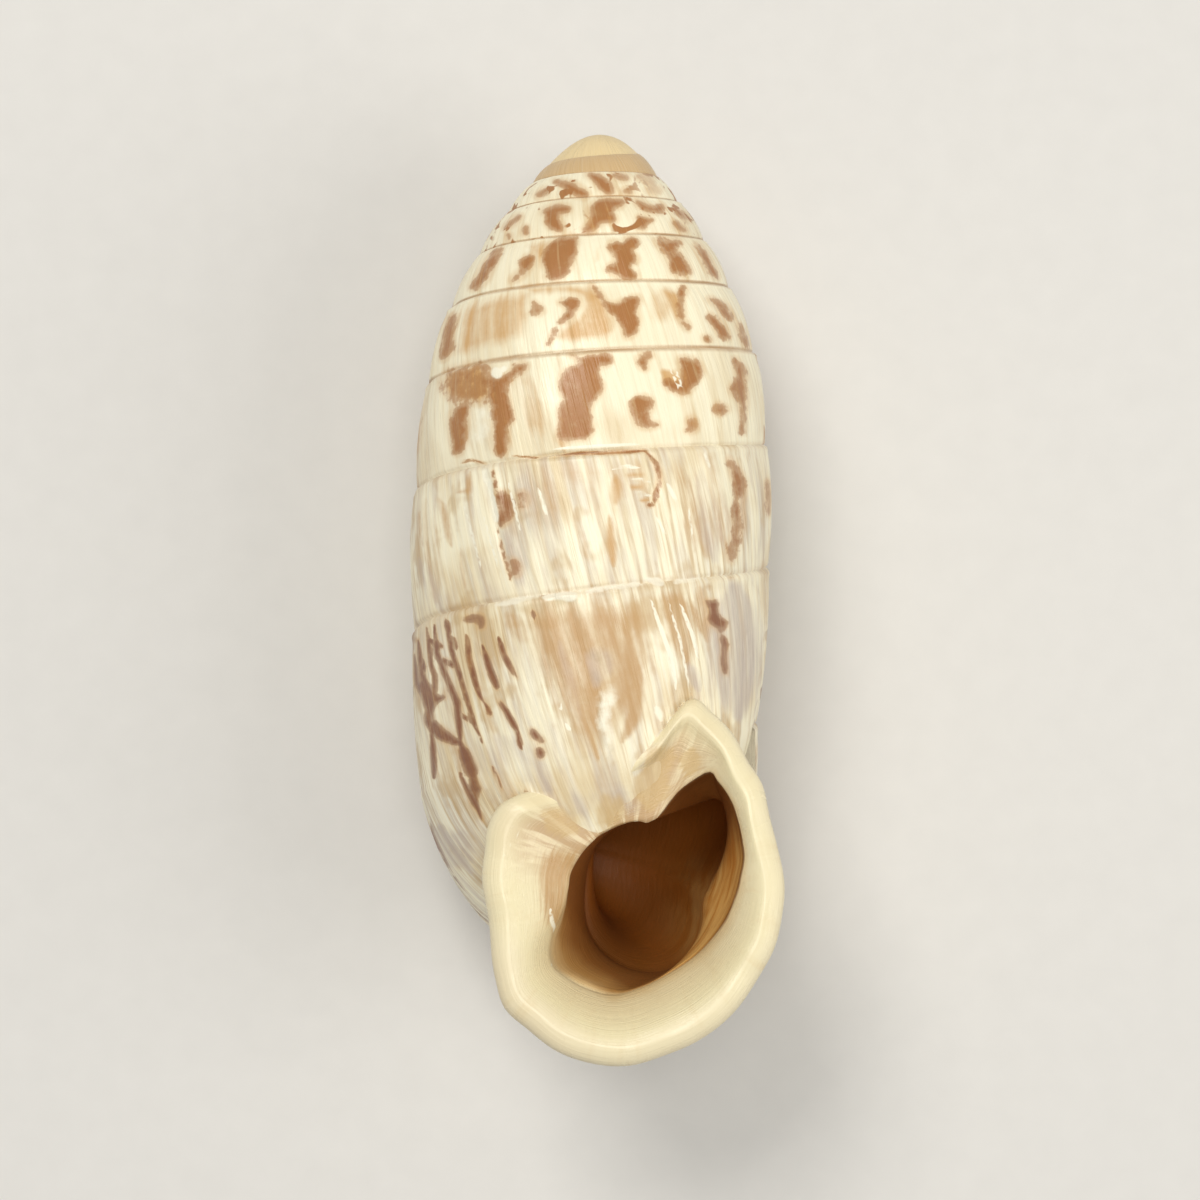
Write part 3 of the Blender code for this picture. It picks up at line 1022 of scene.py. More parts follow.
    def build(self) -> bpy.types.Object:
        """Joins the solids, adds the marks' fields and returns the finished piece."""
        shell = self.coiled_wall()
        lip = self.lip()
        hollow = self.hollow()
        floor = self.rest_cutter()
        for other, operation in ((lip, "UNION"), (hollow, "DIFFERENCE"), (floor, "DIFFERENCE")):
            modifier = shell.modifiers.new(other.name, "BOOLEAN")
            modifier.operation = operation
            modifier.solver = "EXACT"
            modifier.object = other
        graph = bpy.context.evaluated_depsgraph_get()
        joined = bpy.data.meshes.new_from_object(shell.evaluated_get(graph))
        shell.modifiers.clear()
        shell.data = joined
        shell.name = "snail_shell"
        for other in (lip, hollow, floor):
            bpy.data.objects.remove(other)
        joined.shade_smooth()
        self.add_fields(joined)
        LOG.info("snail_shell: %d faces", len(joined.polygons))
        return shell

    def rest_cutter(self) -> bpy.types.Object:
        """Cutter for the flat spot that the shell rests on."""
        points = np.array([(x, y, z) for x in (-20.0, 20.0) for y in (-20.0, 20.0) for z in (-10.0, 0.0)])
        faces = [[0, 1, 3, 2], [4, 6, 7, 5], [0, 4, 5, 1], [2, 3, 7, 6], [0, 2, 6, 4], [1, 5, 7, 3]]
        flat = np.zeros((8, 2))
        return new_object("rest", points, faces, {Layer.GROWTH: flat, Layer.PLACE: flat})

    def add_fields(self, mesh: bpy.types.Mesh) -> None:
        """Adds each kind of mark as a smooth field on the points that face the viewer.

        Args:
            mesh: The shell's mesh.
        """
        points = np.empty(len(mesh.vertices) * 3)
        mesh.vertices.foreach_get("co", points)
        points = points.reshape(-1, 3) / MM
        spots = self.view.pixels(points)
        across = points[:, 0] - self.spiral.axis_lean * (points[:, 1] - self.spiral.lean_from)
        across = across + self.spiral.box_middle[0]
        lifted = points[:, 2] - self.spiral.axis_height
        tilt = np.degrees(np.arctan2(np.abs(across), lifted))
        front = ease(-tilt, -88.0, -74.0)
        self.store(mesh, Layer.FRONT, front)
        for layer, marks in self.marks.items():
            values = np.where(lifted > 0.0, marks_field(marks, spots), -1.0)
            self.store(mesh, layer, values)

    @staticmethod
    def store(mesh: bpy.types.Mesh, layer: Layer, values: np.ndarray) -> None:
        """Stores one value for each point."""
        made = mesh.attributes.new(name=layer.value, type="FLOAT", domain="POINT")
        made.data.foreach_set("value", values.astype(np.float32))


@dataclass
class Graph:
    """A material's nodes, with short ways to add them.

    Attributes:
        name: Name of the material.
    """

    name: str

    def __post_init__(self) -> None:
        """Starts the material with its shader."""
        self.material = bpy.data.materials.new(self.name)
        self.material.use_nodes = True
        self.tree = self.material.node_tree
        self.shader = self.tree.nodes["Principled BSDF"]

    def node(self, kind: str, settings: dict | None = None, inputs: dict | None = None) -> bpy.types.Node:
        """Adds a node with its settings and the values or links of its inputs.

        Args:
            kind: Kind of the node.
            settings: Values of its settings.
            inputs: Values or links of its inputs.

        Returns:
            The node.
        """
        made = self.tree.nodes.new(kind)
        for name, value in (settings or {}).items():
            setattr(made, name, value)
        for key, value in (inputs or {}).items():
            self.feed(made.inputs[key], value)
        return made

    def feed(self, socket: Socket, value: Value) -> None:
        """Links a socket, or sets its value.

        Args:
            socket: The socket.
            value: A link's source, or a plain value.
        """
        if isinstance(value, bpy.types.NodeSocket):
            self.tree.links.new(value, socket)
        else:
            socket.default_value = value

    def math(self, operation: str, first: Value, second: Value = 0.0, third: Value = 0.0) -> Socket:
        """Value of an operation on up to three values."""
        inputs = {0: first, 1: second, 2: third}
        return self.node("ShaderNodeMath", {"operation": operation}, inputs).outputs[0]

    def times(self, first: Value, second: Value) -> Socket:
        """Product of two values."""
        return self.math("MULTIPLY", first, second)

    def scaled(self, first: Value, factor: Value, shift: Value) -> Socket:
        """A value times a factor, with a shift added."""
        return self.math("MULTIPLY_ADD", first, factor, shift)

    def rest(self, share: Value) -> Socket:
        """What a share leaves of 1."""
        return self.math("SUBTRACT", 1.0, share)

    def step(self, value: Value, low: float, high: float) -> Socket:
        """Smooth step from 0 at low to 1 at high.

        Args:
            value: Value to read.
            low: Where the step starts.
            high: Where it ends.

        Returns:
            The step's value.
        """
        settings = {"interpolation_type": "SMOOTHSTEP"}
        inputs = {"Value": value, "From Min": low, "From Max": high}
        return self.node("ShaderNodeMapRange", settings, inputs).outputs[0]

    def mix(self, share: Value, first: Value, second: Value) -> Socket:
        """Colour between two colours.

        Args:
            share: Share of the second colour.
            first: Colour at share 0.
            second: Colour at share 1.

        Returns:
            The mixed colour.
        """
        made = self.node("ShaderNodeMix", {"data_type": "RGBA"})
        self.feed(made.inputs[0], share)
        self.feed(made.inputs[6], first)
        self.feed(made.inputs[7], second)
        return made.outputs[2]

    def ramp(self, share: Value, stops: tuple) -> Socket:
        """Colour read from a row of stops.

        Args:
            share: Place to read at, from 0 to 1.
            stops: Place and colour of each stop.

        Returns:
            The colour.
        """
        made = self.node("ShaderNodeValToRGB", {}, {0: share})
        ramp = made.color_ramp
        while len(ramp.elements) < len(stops):
            ramp.elements.new(0.5)
        for element, (place, colour) in zip(ramp.elements, stops):
            element.position = place
            element.color = colour
        return made.outputs[0]

    def attribute(self, layer: Layer) -> Socket:
        """Value of a point attribute."""
        return self.node("ShaderNodeAttribute", {"attribute_name": layer.value}).outputs["Fac"]

    def pair(self, layer: Layer) -> tuple:
        """The two values of a UV map.

        Args:
            layer: The UV map.

        Returns:
            The first and the second value.
        """
        uv = self.node("ShaderNodeUVMap", {"uv_map": layer.value}).outputs[0]
        split = self.node("ShaderNodeSeparateXYZ", {}, {0: uv})
        return split.outputs[0], split.outputs[1]

    def vector(self, first: Value, second: Value, third: Value = 0.0) -> Socket:
        """Vector of three values."""
        return self.node("ShaderNodeCombineXYZ", {}, {0: first, 1: second, 2: third}).outputs[0]

    def noise(self, vector: Socket, scale: float, detail: float = 2.0, rough: float = 0.5,
              bend: float = 0.0) -> Socket:
        """Noise from 0 to 1.

        Args:
            vector: Place to read the noise at.
            scale: Cells of the noise to a unit.
            detail: Finer layers of noise added.
            rough: Strength of each finer layer to the one before it.
            bend: How much the noise is distorted.

        Returns:
            The noise's value.
        """
        inputs = {"Vector": vector, "Scale": scale, "Detail": detail, "Roughness": rough, "Distortion": bend}
        return self.node("ShaderNodeTexNoise", {}, inputs).outputs[0]


def tone(red: int, green: int, blue: int) -> tuple:
    """Linear colour of a screen colour given as 0 to 255.

    Args:
        red: Red of the screen colour.
        green: Its green.
        blue: Its blue.

    Returns:
        Red, green, blue and 1.
    """
    value = np.array([red, green, blue]) / 255.0
    linear = np.where(value <= 0.04045, value / 12.92, ((value + 0.055) / 1.055) ** 2.4)
    return (float(linear[0]), float(linear[1]), float(linear[2]), 1.0)


@dataclass(frozen=True)
class Spot:
    """Where a point of the shell lies, as the values that the finish reads.

    Attributes:
        turns: Turns grown on the wall, or the share of the way round the mouth.
        wall_turns: Turns grown, on the last quarter whorl as well.
        down: Share of the way down the whorl, or the stage from 10 up on the mouth.
        grown: Turns grown along the slanting growth line.
        fall: Centimetres below the whorl's upper seam.
        solid: Place in the shell, in metres.
        on_mouth: 1 on the last quarter whorl and the mouth, 0 elsewhere.
        lines: Coarse growth streaks, from 0 to 1.
        thin: Fine growth streaks, from 0 to 1.
        broad: Coarse growth streaks about 0.
        ripple: Fine uneven noise about 0.
    """

    turns: Socket
    wall_turns: Socket
    down: Socket
    grown: Socket
    fall: Socket
    solid: Socket
    on_mouth: Socket
    lines: Socket
    thin: Socket
    broad: Socket
    ripple: Socket


@dataclass(frozen=True)
class ShellFinish:
    """Finish of the shell: pale lime with brown mottling, and an ivory lip round a brown throat.

    Attributes:
        cream: Ground colour where the shell is thick and bright.
        beige: Ground colour along the darker growth lines.
        brown: Colour of the blotches on the spire.
        brown_low: Colour of the blotches on the last whorl.
        ochre: Colour of the stained patches, and of the painted shade in the ochre field, on the earlier
            whorls.
        ochre_late: Colour of the stained patches, and of the painted shade in the ochre field, on the last
            whorls and the mouth.
        chalk_and_highlight: Colour of worn and healed spots, and of painted highlights on the lip and the
            healed break.
        grey: Colour where the shell is thin.
        dull: Colour of the dark fine streaks.
        cloud: Colour of the faint clouds on the late whorls.
        tip: Colour of the apex.
        band: Colour of the smooth whorl under it.
        lip: Colour of the lip.
        lip_streak: Colour of the fine streaks on the lip.
        callus: Colour of the glaze over the previous whorl.
        glaze: Dark and light colour of the streaks in the glaze by the mouth.
        painted_glow: Dark and light colour of the painted light on the right wall in the throat.
        stain: Colour in the seams.
        sharp_throat_painted_shading: Places and colours from the lip's root to the inner end, where the
            throat has an edge: the throat's own brown, with painted shade where the hollow turns into the
            tube and painted light in the tube beyond.
        soft_throat_painted_shading: The same where the lip darkens slowly into the throat, with the same
            painted shade and painted light.
        mottling_end: Turns grown at which the mottling of the spire ends.
        wall_end: Turns grown at which the wall passes under the lip.
        net_start: Turns grown at which the slanting net of the last whorl begins.
        coarse_streaks: Coarse growth streaks to a turn.
        fine_streaks: Fine growth streaks to a turn.
        fine_offset: Turns by which the fine streaks are moved from the coarse ones.
        lip_start: Stages between which the wall's colour gives way to the lip's.
    """

    cream: tuple = tone(254, 246, 216)
    beige: tuple = tone(220, 194, 146)
    brown: tuple = tone(174, 120, 70)
    brown_low: tuple = tone(142, 96, 68)
    ochre: tuple = tone(210, 162, 98)
    ochre_late: tuple = tone(196, 156, 104)
    chalk_and_highlight: tuple = tone(255, 251, 230)
    grey: tuple = tone(200, 186, 174)
    dull: tuple = tone(196, 164, 116)
    cloud: tuple = tone(206, 176, 126)
    tip: tuple = tone(236, 208, 150)
    band: tuple = tone(200, 160, 102)
    lip: tuple = tone(240, 229, 188)
    lip_streak: tuple = tone(228, 206, 160)
    callus: tuple = tone(213, 183, 130)
    glaze: tuple = (tone(196, 160, 118), tone(240, 222, 186))
    painted_glow: tuple = (tone(206, 136, 52), tone(250, 202, 120))
    stain: tuple = tone(178, 132, 82)
    sharp_throat_painted_shading: tuple = (
        (0.0, tone(232, 214, 180)),
        (0.2, tone(240, 228, 192)),
        (0.27, lip),
        (0.42, tone(240, 228, 190)),
        (0.49, tone(230, 208, 164)),
        (0.515, tone(146, 92, 38)),
        (0.58, tone(140, 86, 34)),
        # Painted shade: the brown dips darkest where the hollow turns into the tube; the lighter stops after
        # it are painted light in the shadowed tube.
        (0.68, tone(134, 80, 26)),
        (0.75, tone(142, 82, 24)),
        (0.85, tone(160, 92, 26)),
    )
    soft_throat_painted_shading: tuple = (
        (0.0, tone(232, 214, 180)),
        (0.2, tone(240, 228, 192)),
        (0.27, lip),
        (0.41, tone(236, 220, 178)),
        (0.46, tone(222, 194, 142)),
        (0.51, tone(178, 136, 78)),
        (0.56, tone(138, 90, 38)),
        # Painted shade: the brown dips darkest where the hollow turns into the tube; the lighter stops after
        # it are painted light in the shadowed tube.
        (0.64, tone(124, 76, 26)),
        (0.75, tone(136, 80, 24)),
        (0.85, tone(160, 92, 26)),
    )
    mottling_end: float = 6.9
    wall_end: float = 9.278
    net_start: float = 8.02
    coarse_streaks: float = 62.0
    fine_streaks: float = 190.0
    fine_offset: float = 3.3
    lip_start: tuple = (10.28, 10.62)

    def build(self) -> bpy.types.Material:
        """Makes the material, from the ground up to the worn spots and painted highlights, and the mouth with
        its painted shade and light.
        """
        graph = Graph("shell_lime")
        spot = self.spot(graph)
        mouth = self.mouth(graph, spot)
        on_lip = graph.step(spot.down, *self.lip_start)
        colour = graph.mix(on_lip, self.ground(graph, spot), mouth)
        colour = self.stains(graph, spot, colour)
        colour = self.brown_marks(graph, spot, colour, on_lip)
        # Chalky worn spots, and painted highlights on the lip's ridge, the columellar edge and the finger
        # ridges of the healed break.
        chalk_and_highlight_share = graph.scaled(spot.ripple, 0.9, graph.attribute(Layer.CHALK_AND_HIGHLIGHT))
        colour = graph.mix(graph.times(graph.step(chalk_and_highlight_share, 0.0, 0.5), 0.9), colour, self.chalk_and_highlight)
        colour = graph.mix(self.seams(graph, spot), colour, self.stain)
        colour = self.apex(graph, spot, colour)
        colour = graph.mix(graph.step(spot.down, 12.0, 12.06), colour, mouth)
        graph.feed(graph.shader.inputs["Base Color"], colour)
        self.surface(graph, spot)
        return graph.material

    def spot(self, graph: Graph) -> Spot:
        """Reads where a point lies, and the growth streaks there.

        Args:
            graph: The material's nodes.

        Returns:
            The values that the finish reads.
        """
        turns, down = graph.pair(Layer.PLACE)
        grown, fall = graph.pair(Layer.GROWTH)
        solid = graph.node("ShaderNodeTexCoord").outputs["Object"]
        on_mouth = graph.math("GREATER_THAN", down, 5.0)
        wall_turns = graph.math("MAXIMUM", turns, graph.times(on_mouth, MOUTH_TURN))
        lines = self.growth_lines(graph, grown, fall, self.coarse_streaks)
        moved = graph.math("ADD", grown, self.fine_offset)
        thin = self.growth_lines(graph, moved, fall, self.fine_streaks)
        broad = graph.math("SUBTRACT", lines, 0.5)
        ripple = graph.math("SUBTRACT", graph.noise(solid, 2300.0, 3.0, 0.6), 0.5)
        return Spot(turns, wall_turns, down, grown, fall, solid, on_mouth, lines, thin, broad, ripple)

    def growth_lines(self, graph: Graph, grown: Socket, fall: Socket, count: float) -> Socket:
        """Streaks along the growth lines from 0 to 1, as many to a turn as the count."""
        place = graph.vector(graph.times(grown, count), graph.times(fall, 2.6))
        return graph.noise(place, 1.0, 3.0, 0.6)

    def ground(self, graph: Graph, spot: Spot) -> Socket:
        """Ground colour: cream with beige growth lines, greyer and more streaked on the worn late whorls.

        Args:
            graph: The material's nodes.
            spot: Where the point lies.

        Returns:
            The colour.
        """
        late = graph.step(spot.wall_turns, 6.3, 7.3)
        patch = graph.step(graph.noise(spot.solid, 380.0, 2.0, 0.5), 0.46, 0.68)
        ground = graph.mix(graph.times(graph.step(spot.lines, 0.5, 0.78), 0.6), self.cream, self.beige)
        ground = graph.mix(graph.times(patch, graph.scaled(late, 0.35, 0.25)), ground, self.beige)
        worn = graph.times(late, graph.step(spot.lines, 0.40, 0.66))
        ground = graph.mix(graph.times(worn, 0.55), ground, self.grey)
        streaky = graph.step(graph.noise(spot.solid, 260.0, 2.0, 0.5), 0.4, 0.62)
        streaky = graph.times(graph.scaled(streaky, 0.7, 0.3), late)
        bright = graph.times(graph.step(spot.thin, 0.50, 0.68), graph.scaled(streaky, 0.55, 0.2))
        ground = graph.mix(bright, ground, self.chalk_and_highlight)
        dark = graph.times(graph.step(spot.thin, 0.52, 0.34), graph.scaled(streaky, 0.55, 0.15))
        ground = graph.mix(dark, ground, self.dull)
        cloud = graph.scaled(spot.lines, 0.5, graph.noise(spot.solid, 520.0, 3.0, 0.6))
        cloud = graph.times(graph.step(cloud, 0.78, 0.92), late)
        return graph.mix(graph.times(cloud, 0.6), ground, self.cloud)

    def stains(self, graph: Graph, spot: Spot, colour: Socket) -> Socket:
        """Lays ochre stains with some painted shade, grey thin places and the glaze by the mouth over a
        colour.

        Args:
            graph: The material's nodes.
            spot: Where the point lies.
            colour: The colour underneath.

        Returns:
            The colour.
        """
        # The ochre field carries real stains and some painted shade: tan in the grooves between the finger
        # ridges and over the top of the throat's funnel.
        stain = graph.scaled(spot.broad, 1.5, graph.attribute(Layer.OCHRE_AND_SHADE))
        stain = graph.scaled(spot.ripple, 0.4, stain)
        ochre = graph.mix(graph.step(spot.wall_turns, 7.2, 8.0), self.ochre, self.ochre_late)
        colour = graph.mix(graph.times(graph.step(stain, 0.0, 1.1), 0.9), colour, ochre)
        worn = graph.scaled(spot.broad, 1.6, graph.attribute(Layer.GREY))
        colour = graph.mix(graph.times(graph.step(worn, 0.0, 1.0), 0.8), colour, self.grey)
        glaze = graph.scaled(spot.broad, 1.2, graph.attribute(Layer.CALLUS))
        return graph.mix(graph.times(graph.step(glaze, 0.0, 0.8), 0.7), colour, self.callus)

    def brown_marks(self, graph: Graph, spot: Spot, colour: Socket, on_lip: Socket) -> Socket:
        """Lays the brown blotches, with an ochre halo round those in front, over a colour.

        Args:
            graph: The material's nodes.
            spot: Where the point lies.
            colour: The colour underneath.
            on_lip: Share of the lip's own colour.

        Returns:
            The colour.
        """
        off_lip = graph.rest(on_lip)
        on_neck = graph.math("SUBTRACT", spot.on_mouth, on_lip)
        halo = graph.scaled(spot.broad, 1.2, graph.attribute(Layer.BROWN))
        halo = graph.times(graph.step(halo, -0.85, 0.1), graph.math("SUBTRACT", off_lip, on_neck))
        colour = graph.mix(graph.times(halo, 0.38), colour, self.ochre)
        brown = graph.times(self.blotches(graph, spot), off_lip)
        return graph.mix(brown, colour, self.pigment(graph, spot))

    def pigment(self, graph: Graph, spot: Spot) -> Socket:
        """Brown of the blotches, paler and darker along the growth lines, duller on the last whorls.

        Args:
            graph: The material's nodes.
            spot: Where the point lies.

        Returns:
            The colour.
        """
        brown = graph.mix(graph.step(spot.wall_turns, 7.0, 8.2), self.brown, self.brown_low)
        shade = graph.scaled(spot.broad, 1.6, graph.scaled(spot.ripple, 1.0, 0.5))
        brown = graph.mix(graph.step(shade, 0.0, 0.55), graph.mix(0.6, brown, self.stain), brown)
        brown = graph.mix(graph.times(graph.step(shade, 0.6, 1.1), 0.5), brown, self.ochre)
        return graph.mix(graph.times(graph.step(spot.thin, 0.56, 0.72), 0.35), brown, self.beige)

    def seams(self, graph: Graph, spot: Spot) -> Socket:
        """Share of the stain in the seams, broken and faint on the late whorls.

        Args:
            graph: The material's nodes.
            spot: Where the point lies.

        Returns:
            The share.
        """
        near = graph.math("MINIMUM", spot.down, graph.math("ABSOLUTE", graph.rest(spot.down)))
        seam = graph.rest(graph.step(near, 0.01, 0.055))
        last = graph.math("ADD", graph.math("GREATER_THAN", spot.down, 0.5), spot.turns)
        seam = graph.times(seam, graph.math("LESS_THAN", last, self.wall_end))
        seam = graph.times(seam, graph.math("LESS_THAN", spot.down, 1.02))
        place = graph.vector(graph.times(spot.turns, 7.0), 0.0)
        broken = graph.step(graph.noise(place, 1.0, 3.0), 0.38, 0.62)
        early = graph.rest(graph.times(graph.step(last, 6.9, 7.4), 0.75))
        return graph.times(graph.times(seam, early), graph.scaled(broken, 0.5, 0.3))

    def apex(self, graph: Graph, spot: Spot, colour: Socket) -> Socket:
        """Lays the smooth tip and the band under it over a colour.

        Args:
            graph: The material's nodes.
            spot: Where the point lies.
            colour: The colour underneath.

        Returns:
            The colour.
        """
        top = graph.mix(graph.step(spot.turns, 1.1, 1.3), self.tip, self.band)
        top = graph.mix(graph.times(spot.thin, 0.4), top, self.cream)
        on_tip = graph.times(graph.rest(graph.step(spot.turns, 2.15, 2.3)), graph.rest(spot.on_mouth))
        return graph.mix(on_tip, colour, top)

    def blotches(self, graph: Graph, spot: Spot) -> Socket:
        """Share of brown: placed marks and fine specks in front, and mottling elsewhere.

        Args:
            graph: The material's nodes.
            spot: Where the point lies.

        Returns:
            The share.
        """
        in_front = graph.times(graph.attribute(Layer.FRONT), graph.step(spot.wall_turns, 2.3, 2.5))
        speck = graph.step(graph.noise(spot.solid, 1700.0, 2.0, 0.5, 0.4), 0.58, 0.64)
        speck = graph.times(speck, graph.rest(graph.step(spot.wall_turns, 3.7, 4.2)))
        placed = graph.math("MAXIMUM", self.placed_marks(graph, spot), speck)
        beyond = graph.times(self.mottling(graph, spot), graph.rest(in_front))
        return graph.math("MAXIMUM", graph.times(placed, in_front), beyond)

    def placed_marks(self, graph: Graph, spot: Spot) -> Socket:
        """Share of brown in the placed marks, with wavering edges and a denser middle.

        Args:
            graph: The material's nodes.
            spot: Where the point lies.

        Returns:
            The share.
        """
        low = graph.step(spot.wall_turns, 7.4, 7.8)
        waver = graph.scaled(graph.step(spot.wall_turns, 3.9, 4.3), 0.9, 1.3)
        waver = graph.scaled(low, -1.5, waver)
        depth = graph.scaled(low, 0.1, graph.attribute(Layer.BROWN))
        depth = graph.scaled(spot.ripple, waver, depth)
        core = graph.scaled(graph.step(depth, 0.2, 0.9), 0.34, 0.66)
        return graph.times(graph.step(depth, -0.15, 0.25), core)

    def mottling(self, graph: Graph, spot: Spot) -> Socket:
        """Share of brown in the made-up mottling: specks, then upright blotches, then a slanting net.

        Args:
            graph: The material's nodes.
            spot: Where the point lies.

        Returns:
            The share.
        """
        fine = graph.noise(spot.solid, 1050.0, 2.0, 0.5, 0.5)
        place = graph.vector(graph.times(spot.grown, 15.0), graph.times(spot.fall, 3.0))
        upright = graph.noise(place, 1.0, 2.0, 0.5, 0.3)
        late = graph.step(spot.wall_turns, 3.6, 4.2)
        spire = graph.math("ADD", graph.times(fine, graph.rest(late)), graph.times(upright, late))
        fade = graph.rest(graph.step(spot.wall_turns, self.mottling_end - 0.5, self.mottling_end + 0.3))
        spire = graph.times(graph.step(spire, 0.515, 0.56), fade)
        slant = graph.scaled(spot.fall, -2.2, graph.times(spot.grown, 26.0))
        net = graph.noise(graph.vector(slant, graph.times(spot.fall, 8.0)), 1.0, 2.0, 0.55, 0.6)
        net = graph.times(graph.step(net, 0.53, 0.58), graph.step(spot.wall_turns, self.net_start, 8.2))
        return graph.math("MAXIMUM", spire, net)

    def mouth(self, graph: Graph, spot: Spot) -> Socket:
        """Colour of the lip and the throat, by the stage from the lip's root (10) to the inner end (14): the
        throat's own brown with painted shade and painted light.

        Args:
            graph: The material's nodes.
            spot: Where the point lies.

        Returns:
            The colour.
        """
        angle = graph.times(spot.turns, 2.0 * np.pi)
        below = graph.times(graph.math("SINE", graph.math("ADD", angle, 0.1)), -1.0)
        low = graph.step(below, 0.2, 0.9)
        haze = graph.math("SUBTRACT", graph.noise(spot.solid, 600.0, 2.0, 0.6), 0.5)
        stage = graph.scaled(haze, 0.25, spot.down)
        stage = graph.scaled(low, -0.16, stage)
        corner = graph.step(graph.math("COSINE", graph.math("ADD", angle, 2.25)), 0.84, 1.0)
        stage = graph.scaled(corner, -0.2, stage)
        place = graph.times(graph.math("SUBTRACT", stage, 10.0), 0.25)
        colour = graph.mix(low, graph.ramp(place, self.sharp_throat_painted_shading), graph.ramp(place, self.soft_throat_painted_shading))
        colour = self.painted_throat_light(graph, spot, angle, colour)
        return self.lip_streaks(graph, spot, angle, colour)

    def painted_throat_light(self, graph: Graph, spot: Spot, angle: Socket, colour: Socket) -> Socket:
        """Lays painted light over the throat's colour: an amber glow on the right wall, which stands in for
        light shining through the thin shell.

        Args:
            graph: The material's nodes.
            spot: Where the point lies.
            angle: Direction round the mouth.
            colour: The colour underneath.

        Returns:
            The colour.
        """
        # Painted light: the right inner wall is brightened to amber, fading further in.
        rightward = graph.math("COSINE", graph.math("ADD", angle, 0.45))
        inner = graph.step(spot.down, 12.0, 12.15)
        shallow = graph.rest(graph.step(spot.down, 12.8, 13.4))
        lit = graph.times(graph.step(rightward, 0.35, 0.95), graph.times(inner, shallow))
        place = graph.vector(graph.times(spot.down, 9.0), graph.times(spot.turns, 5.0))
        rings = graph.step(graph.noise(place, 1.0, 3.0, 0.6), 0.35, 0.65)
        return graph.mix(graph.times(lit, 0.8), colour, graph.mix(rings, *self.painted_glow))

    def lip_streaks(self, graph: Graph, spot: Spot, angle: Socket, colour: Socket) -> Socket:
        """Lays the streaks of the glaze by the previous whorl, and fainter ones, over the lip's colour.

        Args:
            graph: The material's nodes.
            spot: Where the point lies.
            angle: Direction round the mouth.
            colour: The colour underneath.

        Returns:
            The colour.
        """
        upward = graph.math("SINE", graph.math("ADD", angle, -0.45))
        outside = graph.rest(graph.step(spot.down, 12.0, 12.15))
        wall = graph.times(graph.step(upward, 0.3, 0.8), graph.step(spot.down, 10.8, 11.4))
        wall = graph.times(wall, outside)
        place = graph.vector(graph.times(spot.turns, 46.0), graph.times(spot.down, 0.8))
        streaks = graph.noise(place, 1.0, 3.0, 0.6)
        glaze = graph.mix(graph.step(streaks, 0.46, 0.6), *self.glaze)
        colour = graph.mix(graph.times(wall, 0.8), colour, glaze)
        faint = graph.times(graph.step(streaks, 0.5, 0.75), outside)
        return graph.mix(graph.times(faint, 0.4), colour, self.lip_streak)

    def surface(self, graph: Graph, spot: Spot) -> None:
        """Gloss and fine relief: growth lines on the wall, a smoother glaze on the lip.

        Args:
            graph: The material's nodes.
            spot: Where the point lies.
        """
        patch = graph.noise(spot.solid, 900.0, 3.0, 0.6)
        rough = graph.scaled(spot.lines, 0.25, graph.scaled(patch, 0.25, 0.12))
        smooth = graph.scaled(patch, 0.30, 0.14)
        smooth = graph.scaled(graph.step(spot.down, 11.9, 12.2), 0.3, smooth)
        share = graph.scaled(graph.math("SUBTRACT", smooth, rough), spot.on_mouth, rough)
        graph.feed(graph.shader.inputs["Roughness"], share)
        place = graph.vector(graph.times(spot.grown, 150.0), graph.times(spot.fall, 3.0))
        height = graph.scaled(patch, 0.5, graph.noise(place, 1.0, 3.0, 0.6))
        strength = graph.times(graph.scaled(spot.on_mouth, -0.45, 1.0), 0.7)
        bump = graph.node("ShaderNodeBump", {}, {"Distance": 0.00007, "Height": height, "Strength": strength})
        graph.feed(graph.shader.inputs["Normal"], bump.outputs[0])


